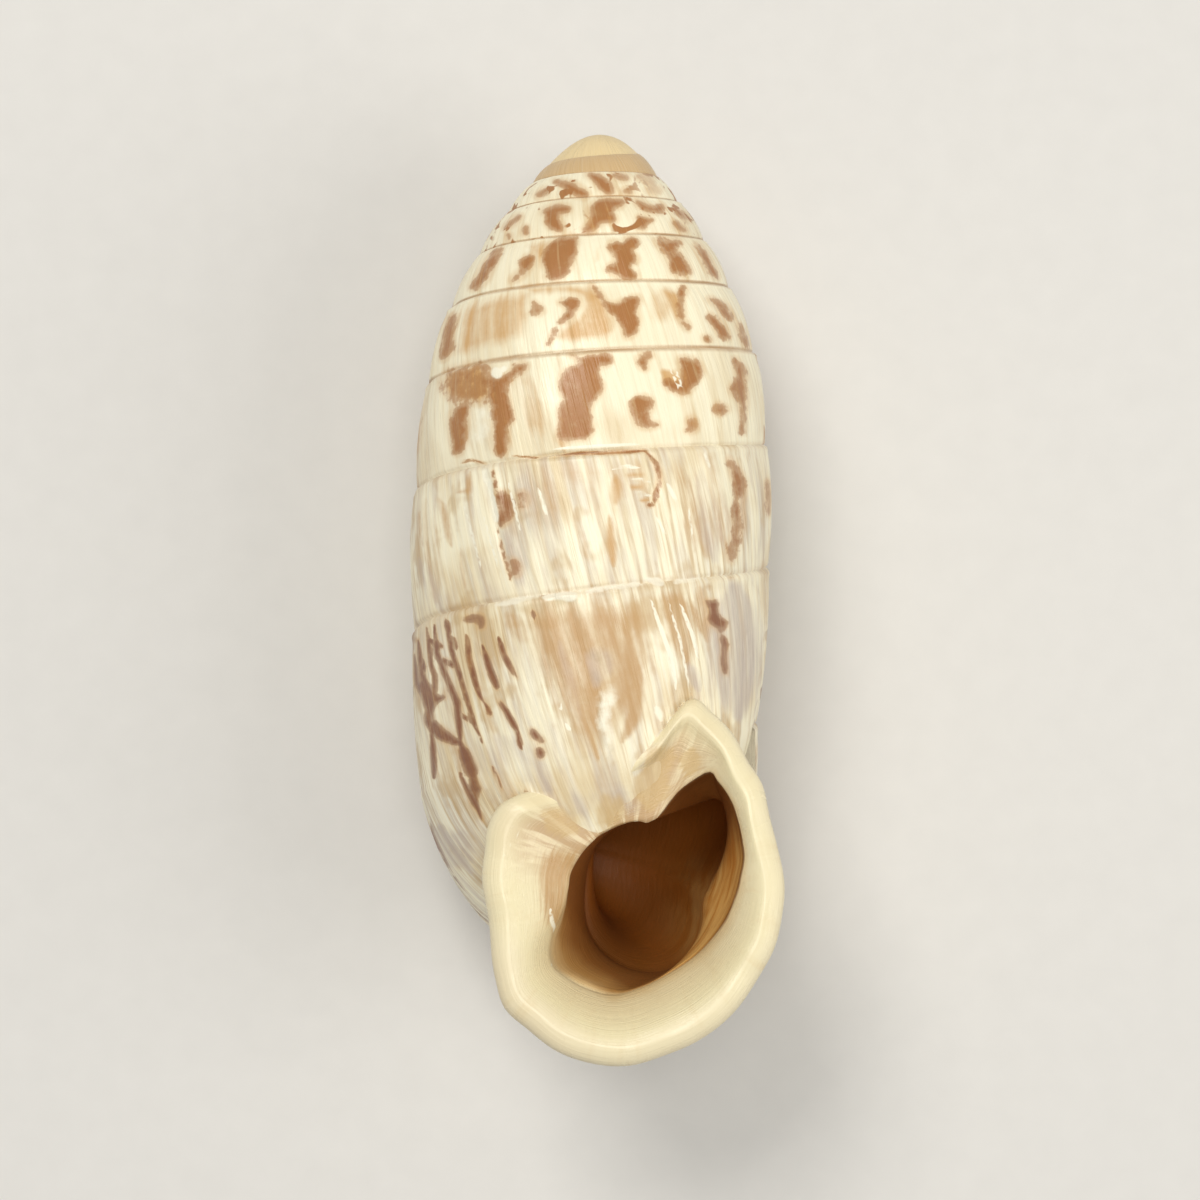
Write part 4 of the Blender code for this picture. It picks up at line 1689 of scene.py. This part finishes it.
@dataclass(frozen=True)
class Studio:
    """Plain pale floor and soft studio light, in metres and watts.

    Attributes:
        floor_colour: Colour of the floor's paper.
        grain_colour: Colour of its faint grain.
        floor_reach: Distance from the middle to the floor's edge, in millimetres.
        lamps: Name, place, side and power of each lamp.
        lamp_colour: Colour of the lamps.
        surrounding: Strength of the surrounding light.
    """

    floor_colour: tuple = tone(226, 225, 222)
    grain_colour: tuple = tone(220, 219, 216)
    floor_reach: float = 900.0
    lamps: tuple = (
        ("key", (-0.06, 0.10, 0.20), 0.09, 0.24),
        ("fill", (0.15, -0.04, 0.13), 0.12, 0.125),
        ("overhead", (0.01, 0.0, 0.30), 0.10, 0.20),
    )
    lamp_colour: tuple = (1.0, 0.965, 0.9)
    surrounding: float = 0.30

    def build(self) -> None:
        """Puts in the floor, the lights and the surrounding light."""
        corners = np.array([(-1.0, -1.0, 0.0), (1.0, -1.0, 0.0), (1.0, 1.0, 0.0), (-1.0, 1.0, 0.0)])
        mesh = bpy.data.meshes.new("floor")
        mesh.from_pydata((corners * self.floor_reach * MM).tolist(), [], [[0, 1, 2, 3]])
        floor = bpy.data.objects.new("floor", mesh)
        bpy.context.scene.collection.objects.link(floor)
        graph = Graph("floor_paper")
        grain = graph.noise(graph.node("ShaderNodeTexCoord").outputs["Object"], 900.0, 3.0)
        paper = graph.mix(grain, self.floor_colour, self.grain_colour)
        graph.feed(graph.shader.inputs["Base Color"], paper)
        graph.shader.inputs["Roughness"].default_value = 0.85
        mesh.materials.append(graph.material)
        for name, place, side, power in self.lamps:
            self.light(name, place, side, power)
        world = bpy.data.worlds.new("studio")
        world.use_nodes = True
        world.node_tree.nodes["Background"].inputs[0].default_value = (1.0, 1.0, 1.0, 1.0)
        world.node_tree.nodes["Background"].inputs[1].default_value = self.surrounding
        bpy.context.scene.world = world
        bpy.context.scene.view_settings.view_transform = "Standard"
        LOG.info("studio: floor and %d lights", len(self.lamps))

    def light(self, name: str, place: tuple, side: float, power: float) -> None:
        """Adds a square soft light that faces the shell.

        Args:
            name: Name of the light.
            place: Where it stands.
            side: Length of its side.
            power: Its power.
        """
        lamp = bpy.data.lights.new(name, "AREA")
        lamp.size = side
        lamp.energy = power
        lamp.color = self.lamp_colour
        made = bpy.data.objects.new(name, lamp)
        made.location = place
        made.rotation_euler = (-Vector(place)).to_track_quat("-Z", "Y").to_euler()
        bpy.context.scene.collection.objects.link(made)


SPIRE_BLOTCHES = (
    # third whorl
    Patch((628, 236, 690, 240, 722, 252, 782, 284, 772, 304, 730, 298, 690, 268)),
    Patch((765, 210, 800, 205, 858, 240, 876, 272, 864, 294, 836, 286, 810, 252)),
    Patch((566, 294, 614, 264, 622, 282, 582, 308)),
    Patch((868, 208, 934, 218, 928, 240, 890, 230)),
    Patch((916, 268, 946, 264, 948, 292, 916, 288)),
    Patch((962, 224, 1000, 214, 1032, 236, 1022, 258, 996, 232), 0.7),
    Patch((1004, 262, 1046, 262, 1064, 284, 1024, 290), 0.7),
    # fourth whorl
    Patch((594, 354, 668, 330, 708, 344, 694, 362, 654, 368, 684, 434, 650, 440, 606, 404, 614, 382)),
    Patch((800, 322, 842, 304, 884, 312, 914, 310, 916, 334, 860, 356, 886, 380, 884, 402, 828, 396, 806,
           430, 768, 444, 752, 430, 792, 392, 782, 360)),
    Patch((958, 314, 984, 318, 1030, 346, 1058, 330, 1078, 342, 1066, 364, 1010, 360, 974, 340)),
    Patch((966, 374, 1010, 384, 1036, 392, 1004, 404, 1004, 430, 956, 420, 978, 402)),
    Patch((1106, 396, 1132, 398, 1168, 442, 1120, 424)),
    Patch((1118, 342, 1174, 384, 1168, 402, 1118, 362)),
    Patch((436, 428, 498, 374, 520, 378, 466, 424), 1.0),
    Patch((524, 418, 542, 418, 538, 448, 518, 446)),
    Patch((460, 446, 474, 452, 468, 474)),
    # fifth whorl: upright blotches
    Patch((418, 508, 446, 500, 400, 590, 376, 640, 318, 670, 318, 646, 356, 590, 378, 550)),
    Patch((530, 538, 558, 530, 564, 556, 510, 620, 478, 636, 480, 622, 518, 580, 508, 560)),
    Patch((634, 474, 690, 458, 744, 456, 722, 530, 694, 604, 650, 630, 612, 618, 622, 596, 592, 550, 600,
           520)),
    Patch((860, 484, 888, 474, 912, 486, 926, 462, 968, 462, 974, 490, 938, 510, 978, 548, 934, 574, 976,
           618, 930, 626, 852, 594, 856, 570, 888, 556, 876, 522, 852, 502)),
    Patch((1036, 476, 1060, 458, 1096, 474, 1130, 464, 1142, 490, 1112, 498, 1164, 556, 1188, 608, 1110,
           608, 1092, 548, 1076, 512)),
    Patch((1190, 476, 1240, 522, 1294, 624, 1266, 616, 1220, 540)),
    # sixth whorl
    Patch((236, 770, 264, 762, 240, 850, 250, 890, 200, 954, 202, 900, 222, 806)),
    Patch((556, 704, 610, 744, 590, 766, 548, 760, 568, 744), 0.8),
    Patch((650, 714, 724, 696, 750, 716, 704, 786, 652, 798, 696, 762, 690, 726)),
    Patch((642, 820, 656, 818, 640, 866, 612, 886)),
    Patch((784, 644, 806, 652, 866, 730, 944, 694, 986, 692, 964, 748, 976, 780, 962, 840, 918, 858, 908,
           792, 856, 748)),
    Patch((1138, 652, 1164, 658, 1146, 708, 1158, 778, 1134, 776, 1126, 700)),
    Patch((1138, 792, 1164, 786, 1180, 808, 1164, 828)),
    Patch((1238, 694, 1300, 710, 1350, 774, 1330, 784, 1280, 732)),
    Patch((1238, 770, 1268, 760, 1332, 840, 1324, 860, 1290, 846, 1262, 800)),
    Patch((1360, 798, 1382, 812, 1410, 892, 1388, 894)),
    Patch((1224, 848, 1248, 846, 1264, 866, 1238, 872), 0.7),
    # seventh whorl: broad scalloped blotches
    Patch((204, 1000, 310, 964, 380, 962, 412, 1024, 396, 1106, 316, 1106, 276, 1114, 216, 1078), 0.36,
           10.0),
    Patch((376, 1004, 434, 1014, 486, 976, 486, 956, 548, 956, 520, 986, 448, 1030, 468, 1092, 490, 1176,
           460, 1198, 462, 1274, 450, 1312, 424, 1318, 408, 1290, 404, 1150, 390, 1080)),
    Patch((244, 1138, 300, 1106, 310, 1140, 286, 1300, 258, 1314, 244, 1290, 232, 1170)),
    Patch((690, 916, 752, 930, 800, 920, 848, 918, 874, 944, 852, 960, 822, 958, 812, 1000, 838, 1046, 804,
           1088, 780, 1150, 806, 1236, 700, 1258, 648, 1258, 672, 1192, 658, 1130, 692, 1096, 664, 1058,
           668, 1010, 696, 974, 752, 954, 748, 942)),
    Patch((968, 918, 1032, 918, 1004, 944, 1010, 984, 976, 970)),
    Patch((1130, 928, 1190, 932, 1230, 980, 1200, 1036, 1160, 1078, 1078, 1048, 1072, 1012, 1140, 1032,
           1150, 984)),
    Patch((940, 1098, 1004, 1076, 1038, 1108, 1004, 1182, 1062, 1194, 1010, 1208, 974, 1206, 944, 1140)),
    Patch((1160, 1178, 1194, 1168, 1208, 1214, 1152, 1222, 1174, 1202)),
    Patch((1266, 1134, 1292, 1110, 1332, 1136, 1290, 1156)),
    Patch((1344, 928, 1374, 954, 1398, 1000, 1384, 1040, 1400, 1094, 1390, 1224, 1372, 1232, 1376, 1150,
           1360, 1084, 1328, 1056, 1364, 1020)),
    Patch((108, 1084, 126, 1080, 106, 1296, 96, 1290), 0.8),
)

WORN_WHORL_BLOTCHES = (
    Patch((390, 262, 422, 242, 448, 270, 456, 342, 408, 388, 396, 360, 412, 330), 0.8, 6.0, MIDDLE_PART),
    Patch((478, 250, 504, 252, 516, 280, 500, 318, 476, 312, 494, 284), 0.3, 6.0, MIDDLE_PART),
    Patch((448, 518, 474, 530, 486, 566, 470, 592, 448, 558), 0.5, 6.0, MIDDLE_PART),
    Patch((1312, 110, 1336, 124, 1396, 214, 1366, 300, 1376, 400, 1336, 546, 1308, 490, 1342, 410, 1334,
           340, 1356, 256), 0.9, 7.0, MIDDLE_PART),
    Patch((1470, 196, 1488, 216, 1488, 334, 1476, 334), 0.7, 5.0, MIDDLE_PART),
    Stroke((514, 456, 539, 458), 1.0, 1.0, 0.8),
    Stroke((556, 455, 580, 453, 604, 453, 646, 451), 1.2, 2.2),
    Stroke((647, 453, 655, 462, 659, 474, 659, 484, 654, 503, 645, 507), 3.0, 2.6),
    Stroke((460, 463, 471, 460, 488, 464), 1.3),
)

SLANTING_NET = (
    Stroke((446, 624, 452, 651, 460, 676, 467, 700, 476, 728, 483, 743), 3.2, 2.2),
    Stroke((467, 634, 469, 659, 476, 685, 483, 703), 3.4, 2.8),
    Stroke((486, 706, 492, 718), 2.8, 2.2),
    Stroke((483, 647, 490, 671, 498, 689), 2.6, 5.0),
    Stroke((498, 636, 504, 656, 516, 677), 3.0, 3.2),
    Stroke((498, 700, 506, 711, 518, 732), 3.0, 3.5),
    Patch((60, 1000, 92, 1016, 140, 1046, 152, 1086, 126, 1136, 100, 1110, 82, 1056), 1.0, 5.0,
           MIDDLE_PART),
    Patch((100, 1150, 140, 1170, 200, 1226, 250, 1260, 200, 1262, 130, 1226), 1.0, 5.0, MIDDLE_PART),
    Stroke((443, 660, 458, 668), 2.6),
    Stroke((430, 640, 444, 648), 2.6),
    Stroke((436, 700, 452, 690), 2.6),
    Stroke((462, 716, 474, 722), 2.6, 2.6, 0.8),
    Stroke((418, 640, 422, 676, 430, 690), 2.4, 3.4),
    Stroke((498, 532, 504, 556, 512, 584), 1.8, 1.8, 0.6),
    Stroke((492, 468, 496, 488, 500, 510, 500, 528), 2.0, 2.2, 0.9),
    Stroke((518, 732, 521, 749), 2.2, 3.0),
    Patch((522, 1206, 544, 1206, 554, 1228, 578, 1248, 570, 1258, 536, 1240), 1.0, 5.0, MIDDLE_PART),
    Patch((548, 1280, 566, 1278, 580, 1292, 576, 1314, 556, 1316), 1.0, 5.0, MIDDLE_PART),
    Stroke((420, 689, 431, 697, 428, 720, 432, 732), 4.0, 5.0),
    Stroke((432, 732, 434, 766, 434, 778), 2.6, 4.0),
    Stroke((432, 731, 443, 738, 461, 744), 3.4, 4.0),
    Stroke((461, 744, 466, 758, 474, 778), 5.0, 8.0),
    Stroke((474, 778, 476, 804), 8.0, 4.0),
    Stroke((460, 774, 474, 804, 483, 819), 3.0, 2.4),
    Stroke((434, 625, 437, 654, 451, 688, 457, 703, 461, 743), 2.4, 4.2),
    Stroke((427, 627, 431, 666, 435, 676, 435, 697), 2.0, 4.0),
    Stroke((423, 660, 425, 673), 1.8),
    Stroke((414, 654, 417, 685, 423, 694), 2.0, 3.2),
    Stroke((446, 620, 450, 634), 3.4, 2.4),
    Patch((256, 756, 296, 744, 334, 744, 340, 784, 318, 800, 312, 764, 262, 772), 0.6, 5.0, MIDDLE_PART),
    Stroke((452, 636, 457, 650), 3.2, 2.4, 0.6),
    Stroke((492, 766, 501, 787), 1.8, 1.8, 0.5),
    Stroke((525, 793, 533, 798), 2.6, 2.6, 0.5),
    Stroke((532, 610, 535, 619), 2.6, 2.6, 0.5),
)

RIGHT_BLOTCHES = (
    Patch((1226, 682, 1250, 690, 1280, 684, 1272, 728, 1286, 756, 1318, 766, 1314, 798, 1280, 800, 1234,
           764, 1252, 732), 1.0, 5.0, MIDDLE_PART, 0.9),
    Patch((1284, 820, 1308, 832, 1324, 866, 1308, 900, 1316, 984, 1300, 976, 1290, 930, 1300, 880), 1.0,
           5.0, MIDDLE_PART, 0.9),
)

OCHRE_STAINS_AND_PAINTED_SHADE = (
    Patch((208, 760, 262, 740, 240, 840, 196, 950, 184, 900), 0.8, 8.0),
    Patch((254, 740, 330, 690, 520, 650, 640, 640, 620, 690, 560, 700, 570, 780, 530, 860, 470, 890, 300,
           930, 230, 950, 250, 850), 0.75, 14.0),
    Patch((480, 650, 620, 636, 800, 640, 860, 720, 910, 800, 880, 860, 700, 880, 620, 880, 640, 820, 720,
           780, 760, 710, 700, 686, 600, 690, 560, 700), 0.8, 9.0),
    Patch((980, 700, 1060, 640, 1140, 660, 1120, 780, 1040, 820), 0.4, 10.0),
    Patch((640, 850, 700, 800, 790, 790, 800, 830, 700, 860, 640, 890), 0.8, 8.0),
    Patch((1040, 646, 1160, 652, 1150, 770, 1180, 830, 1120, 812, 1074, 720), 0.95, 10.0),
    Patch((1230, 700, 1330, 720, 1390, 800, 1350, 870, 1230, 860), 0.3, 12.0),
    Patch((524, 472, 660, 452, 640, 560, 600, 560, 540, 530), 0.6, 9.0),
    Stroke((600, 245, 596, 262), 6.0, 6.0, 0.3),
    Patch((196, 990, 310, 960, 380, 962, 410, 1060, 380, 1110, 220, 1100), 1.0, 9.0),
    Patch((420, 980, 560, 960, 640, 1100, 640, 1240, 500, 1240, 470, 1100), 0.35, 14.0),
    Stroke((664, 372, 678, 384), 12.0, 10.0, 0.9),
    Stroke((470, 472, 469, 491, 456, 492), 6.0, 5.0, 0.7),
    Stroke((442, 501, 451, 547), 7.0, 7.0, 1.0),
    Stroke((460, 548, 466, 590), 5.0, 5.0, 0.6),
    Stroke((419, 511, 423, 548), 4.0, 4.0, 0.7),
    Stroke((428, 567, 432, 612), 5.0, 5.0, 0.4),
    Stroke((616, 476, 615, 505), 10.0, 9.0, 0.8),
    Stroke((609, 515, 611, 541, 614, 566), 7.0, 7.0, 0.9),
    Stroke((636, 460, 650, 498), 10.0, 9.0, 0.5),
    Stroke((674, 463, 682, 497), 13.0, 12.0, 0.3),
    Patch((130, 250, 200, 280, 226, 400, 226, 480, 190, 480, 170, 380), 0.8, 9.0, MIDDLE_PART),
    Patch((226, 480, 266, 520, 280, 640, 250, 650, 236, 560), 0.5, 8.0, MIDDLE_PART),
    Patch((1000, 640, 1120, 630, 1200, 700, 1210, 900, 1160, 1000, 1060, 860), 0.7, 10.0, MIDDLE_PART),
    Patch((1180, 80, 1300, 90, 1330, 300, 1290, 520, 1180, 540, 1060, 300), 0.4, 16.0, MIDDLE_PART),
    Patch((560, 110, 1000, 110, 960, 240, 900, 330, 760, 260, 600, 200), 0.3, 16.0, MIDDLE_PART),
    Stroke((540, 470, 590, 560), 14.0, 14.0, 0.25),
    Stroke((508, 615, 530, 640), 14.0, 16.0, 0.5),
    Patch((440, 720, 720, 660, 1040, 640, 1060, 900, 1020, 1120, 880, 1240, 760, 1300, 620, 1150, 500, 900),
           0.85, 26.0, MIDDLE_PART),
    Patch((880, 780, 960, 800, 1010, 900, 1000, 1060, 900, 1180, 860, 1140, 930, 1000, 920, 880), 0.8, 10.0,
           MIDDLE_PART),
    Stroke((700, 588, 708, 640), 14.0, 12.0, 0.6),
    Stroke((426, 500, 436, 600), 14.0, 14.0, 0.45),
    Stroke((700, 456, 720, 540), 20.0, 18.0, 0.4),
    # Painted shade: tan in the grooves between the finger ridges of the healed break.
    Stroke((622, 474, 645, 475), 4.0, 4.0, 0.8),
    Stroke((630, 487, 650, 488), 4.0, 4.0, 0.8),
    Stroke((640, 501, 650, 500), 4.0, 3.0, 0.8),
    Stroke((565, 452, 560, 440), 6.0, 6.0, 0.6),
    Patch((220, 690, 390, 670, 430, 720, 380, 800, 370, 920, 310, 1040, 240, 920), 0.9, 14.0, MOUTH_PART),
    # Painted shade: tan-brown darkening at the top of the throat's funnel.
    Patch((740, 440, 830, 330, 890, 400, 800, 440, 720, 540, 690, 540), 0.7, 12.0, MOUTH_PART),
    Patch((560, 480, 640, 440, 700, 560, 640, 590, 560, 590), 0.4, 12.0, MOUTH_PART),
    Patch((1030, 260, 1084, 300, 1084, 420, 1050, 400), 0.8, 8.0, MOUTH_PART),
    Stroke((757, 745, 764, 775), 8.0, 8.0, 0.6),
    Stroke((548, 615, 572, 700, 592, 742), 12.0, 10.0, 0.6),
    Stroke((624, 624, 642, 684), 8.0, 11.0, 1.0),
    Stroke((638, 664, 634, 716, 622, 742), 13.0, 11.0, 0.9),
    Stroke((565, 687, 591, 735, 600, 765), 6.0, 5.0, 0.9),
    Stroke((690, 600, 704, 636), 7.0, 7.0, 0.8),
    Stroke((709, 587), 6.0, 6.0, 0.7),
    Stroke((731, 577), 6.0, 6.0, 0.6),
    Stroke((668, 700, 655, 735), 9.0, 9.0, 0.4),
    Stroke((416, 640), 5.0, 5.0, 1.0),
)

THIN_PLACES = (
    Stroke((735, 590, 738, 715), 34.0, 26.0, 0.8),
    Stroke((690, 665, 700, 690), 12.0, 12.0, 0.6),
    Patch((740, 880, 800, 850, 860, 880, 880, 960, 850, 1010, 800, 1050, 770, 1040, 750, 960), 0.55, 8.0,
           MIDDLE_PART),
    Patch((530, 430, 600, 440, 640, 570, 560, 590, 500, 520), 0.5, 12.0, MOUTH_PART),
    Stroke((560, 640, 580, 720), 10.0, 10.0, 0.3),
    Stroke((520, 480, 520, 580), 22.0, 22.0, 0.4),
    Stroke((500, 740, 550, 790), 26.0, 22.0, 0.45),
    Stroke((440, 830, 470, 870), 26.0, 18.0, 0.6),
    Stroke((700, 470, 716, 560), 14.0, 16.0, 0.5),
    Stroke((420, 560, 440, 610), 10.0, 10.0, 0.4),
    Stroke((655, 745, 640, 790), 14.0, 14.0, 0.4),
    Stroke((590, 790, 570, 820), 22.0, 20.0, 0.5),
)

CHALK_SPOTS_AND_PAINTED_HIGHLIGHTS = (
    Patch((330, 154, 344, 150, 352, 196, 362, 204, 366, 246, 380, 262, 382, 300, 396, 340, 390, 380, 378,
           356, 376, 310, 366, 282, 352, 240, 350, 214, 336, 200), 1.0, 4.0, MIDDLE_PART, 1.6),
    Stroke((507, 478, 522, 537), 1.7, 1.7),
    Stroke((464, 506, 483, 574), 2.2, 2.2, 0.7),
    Stroke((482, 511, 501, 578), 2.0, 2.0, 0.7),
    Stroke((538, 488, 547, 516), 3.0, 3.0, 0.6),
    # Painted highlights: the lit tops of the finger ridges in the healed break.
    Stroke((612, 469, 626, 466, 643, 469), 2.6, 2.6, 0.62),
    Stroke((628, 481, 640, 479, 651, 482), 2.6, 2.6, 0.62),
    Stroke((630, 494, 642, 493, 652, 497), 2.8, 2.6, 0.62),
    # Painted highlight along the raised edge of the columellar lip.
    Stroke((550, 908, 552, 922, 556, 932, 552, 968), 3.2, 2.6),
    Stroke((666, 481, 678, 504), 2.6, 2.6, 0.8),
    Stroke((687, 500, 694, 544), 1.7, 1.7, 0.8),
    Stroke((655, 513, 666, 537), 2.2, 2.2, 0.8),
    Stroke((703, 450, 711, 470), 2.8, 2.8, 0.6),
    Stroke((550, 449, 600, 446, 640, 444), 2.0, 2.4),
    Patch((366, 704, 420, 682, 520, 664, 560, 668, 500, 690, 400, 714), 0.7, 5.0, MIDDLE_PART),
    Patch((556, 668, 640, 652, 704, 648, 720, 666, 690, 694, 640, 680, 590, 688), 0.9, 5.0, MIDDLE_PART),
    Patch((736, 648, 800, 624, 890, 618, 964, 610, 966, 630, 870, 642, 800, 650, 750, 664), 0.8, 5.0,
           MIDDLE_PART),
    Patch((968, 598, 1004, 590, 1064, 604, 1062, 630, 1010, 618), 0.8, 5.0, MIDDLE_PART),
    Patch((1086, 604, 1206, 588, 1216, 604, 1100, 622), 0.7, 5.0, MIDDLE_PART),
    Patch((764, 1062, 790, 1070, 800, 1040, 830, 1030, 850, 1000, 876, 1020, 892, 1060, 880, 1120, 850,
           1150, 860, 1200, 872, 1250, 850, 1300, 846, 1350, 800, 1350, 812, 1290, 800, 1220, 776, 1170,
           786, 1120), 0.36, 9.0, MIDDLE_PART, 0.6),
    Patch((800, 1090, 830, 1080, 836, 1160, 820, 1260, 806, 1180), 0.7, 6.0, MIDDLE_PART, 0.6),
    # Painted highlight line along the ridge of the lip's upper left.
    Stroke((534, 817, 516, 836, 503, 858), 2.4, 2.2, 0.5),
    Stroke((650, 597, 658, 621, 672, 659, 676, 688), 2.6, 3.2),
    Stroke((680, 603, 693, 636, 699, 662), 2.6, 2.8),
    Stroke((668, 600, 680, 640, 690, 692), 2.0, 2.4, 0.8),
    Stroke((497, 373), 7.0),
    Stroke((504, 369), 4.0),
    Patch((310, 1112, 398, 1108, 404, 1290, 340, 1310, 304, 1240), 0.22, 10.0),
    Stroke((562, 703, 560, 710), 2.4),
    Stroke((566, 724, 571, 732), 2.6),
    Stroke((656, 706, 662, 722), 6.0, 5.0, 0.5),
    Stroke((676, 370, 684, 392), 1.5, 1.5),
    Stroke((669, 366, 680, 392), 1.4, 1.4),
)

MOUTH_GLAZE = (
    Stroke((672, 750, 650, 768), 14.0, 22.0),
    Stroke((652, 770, 650, 805), 24.0, 22.0),
    Stroke((692, 750, 688, 774), 14.0, 14.0),
    Stroke((620, 800, 600, 825), 20.0, 20.0, 0.7),
    Stroke((575, 830, 545, 815), 18.0, 18.0, 0.8),
)

MARKS = {
    Layer.BROWN: SPIRE_BLOTCHES + WORN_WHORL_BLOTCHES + SLANTING_NET + RIGHT_BLOTCHES,
    Layer.OCHRE_AND_SHADE: OCHRE_STAINS_AND_PAINTED_SHADE,
    Layer.GREY: THIN_PLACES,
    Layer.CHALK_AND_HIGHLIGHT: CHALK_SPOTS_AND_PAINTED_HIGHLIGHTS,
    Layer.CALLUS: MOUTH_GLAZE,
}

SCARS = (
    Stroke((530, 458, 560, 455, 600, 453, 645, 451), 4.0, 5.0, -0.14),
    Stroke((650, 459, 657, 474, 656, 486, 650, 502), 7.0, 7.0, -0.10),
    Stroke((636, 473, 648, 473), 2.6, 2.6, -0.06),
    Stroke((634, 487, 648, 488), 2.6, 2.6, -0.06),
    Stroke((650, 448, 662, 462, 667, 478, 664, 496, 656, 512), 4.5, 4.5, 0.05),
    Stroke((484, 468, 488, 491, 494, 516, 502, 548, 507, 562), 3.2, 2.6, -0.09),
    Stroke((490, 468, 498, 503, 499, 527), 3.4, 3.0, 0.09),
    Stroke((556, 596, 577, 596), 5.0, 4.5, 0.09),
    Stroke((597, 592, 636, 586), 4.0, 4.0, 0.06),
    Stroke((648, 579, 663, 585), 4.0, 4.0, 0.06),
    Stroke((675, 581, 706, 576), 4.0, 4.0, 0.06),
    Stroke((604, 696, 604, 724, 609, 746, 602, 765), 9.0, 6.0, 0.07),
    Stroke((595, 681), 6.0, 6.0, -0.05),
    Stroke((588, 656, 606, 672), 7.0, 6.0, -0.05),
)


def main() -> None:
    """Builds the shell, its finish and the studio."""
    logging.basicConfig(level=logging.INFO)
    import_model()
    view = Viewpoint()
    body = ShellBody(Spiral(), Mouth(), Relief(), view, marks=MARKS, scar_strokes=SCARS)
    shell = body.build()
    shell.data.materials.clear()
    shell.data.materials.append(ShellFinish().build())
    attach(shell, "root")
    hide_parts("shell")
    Studio().build()
    view.add_camera()


if __name__ == "__main__":
    main()
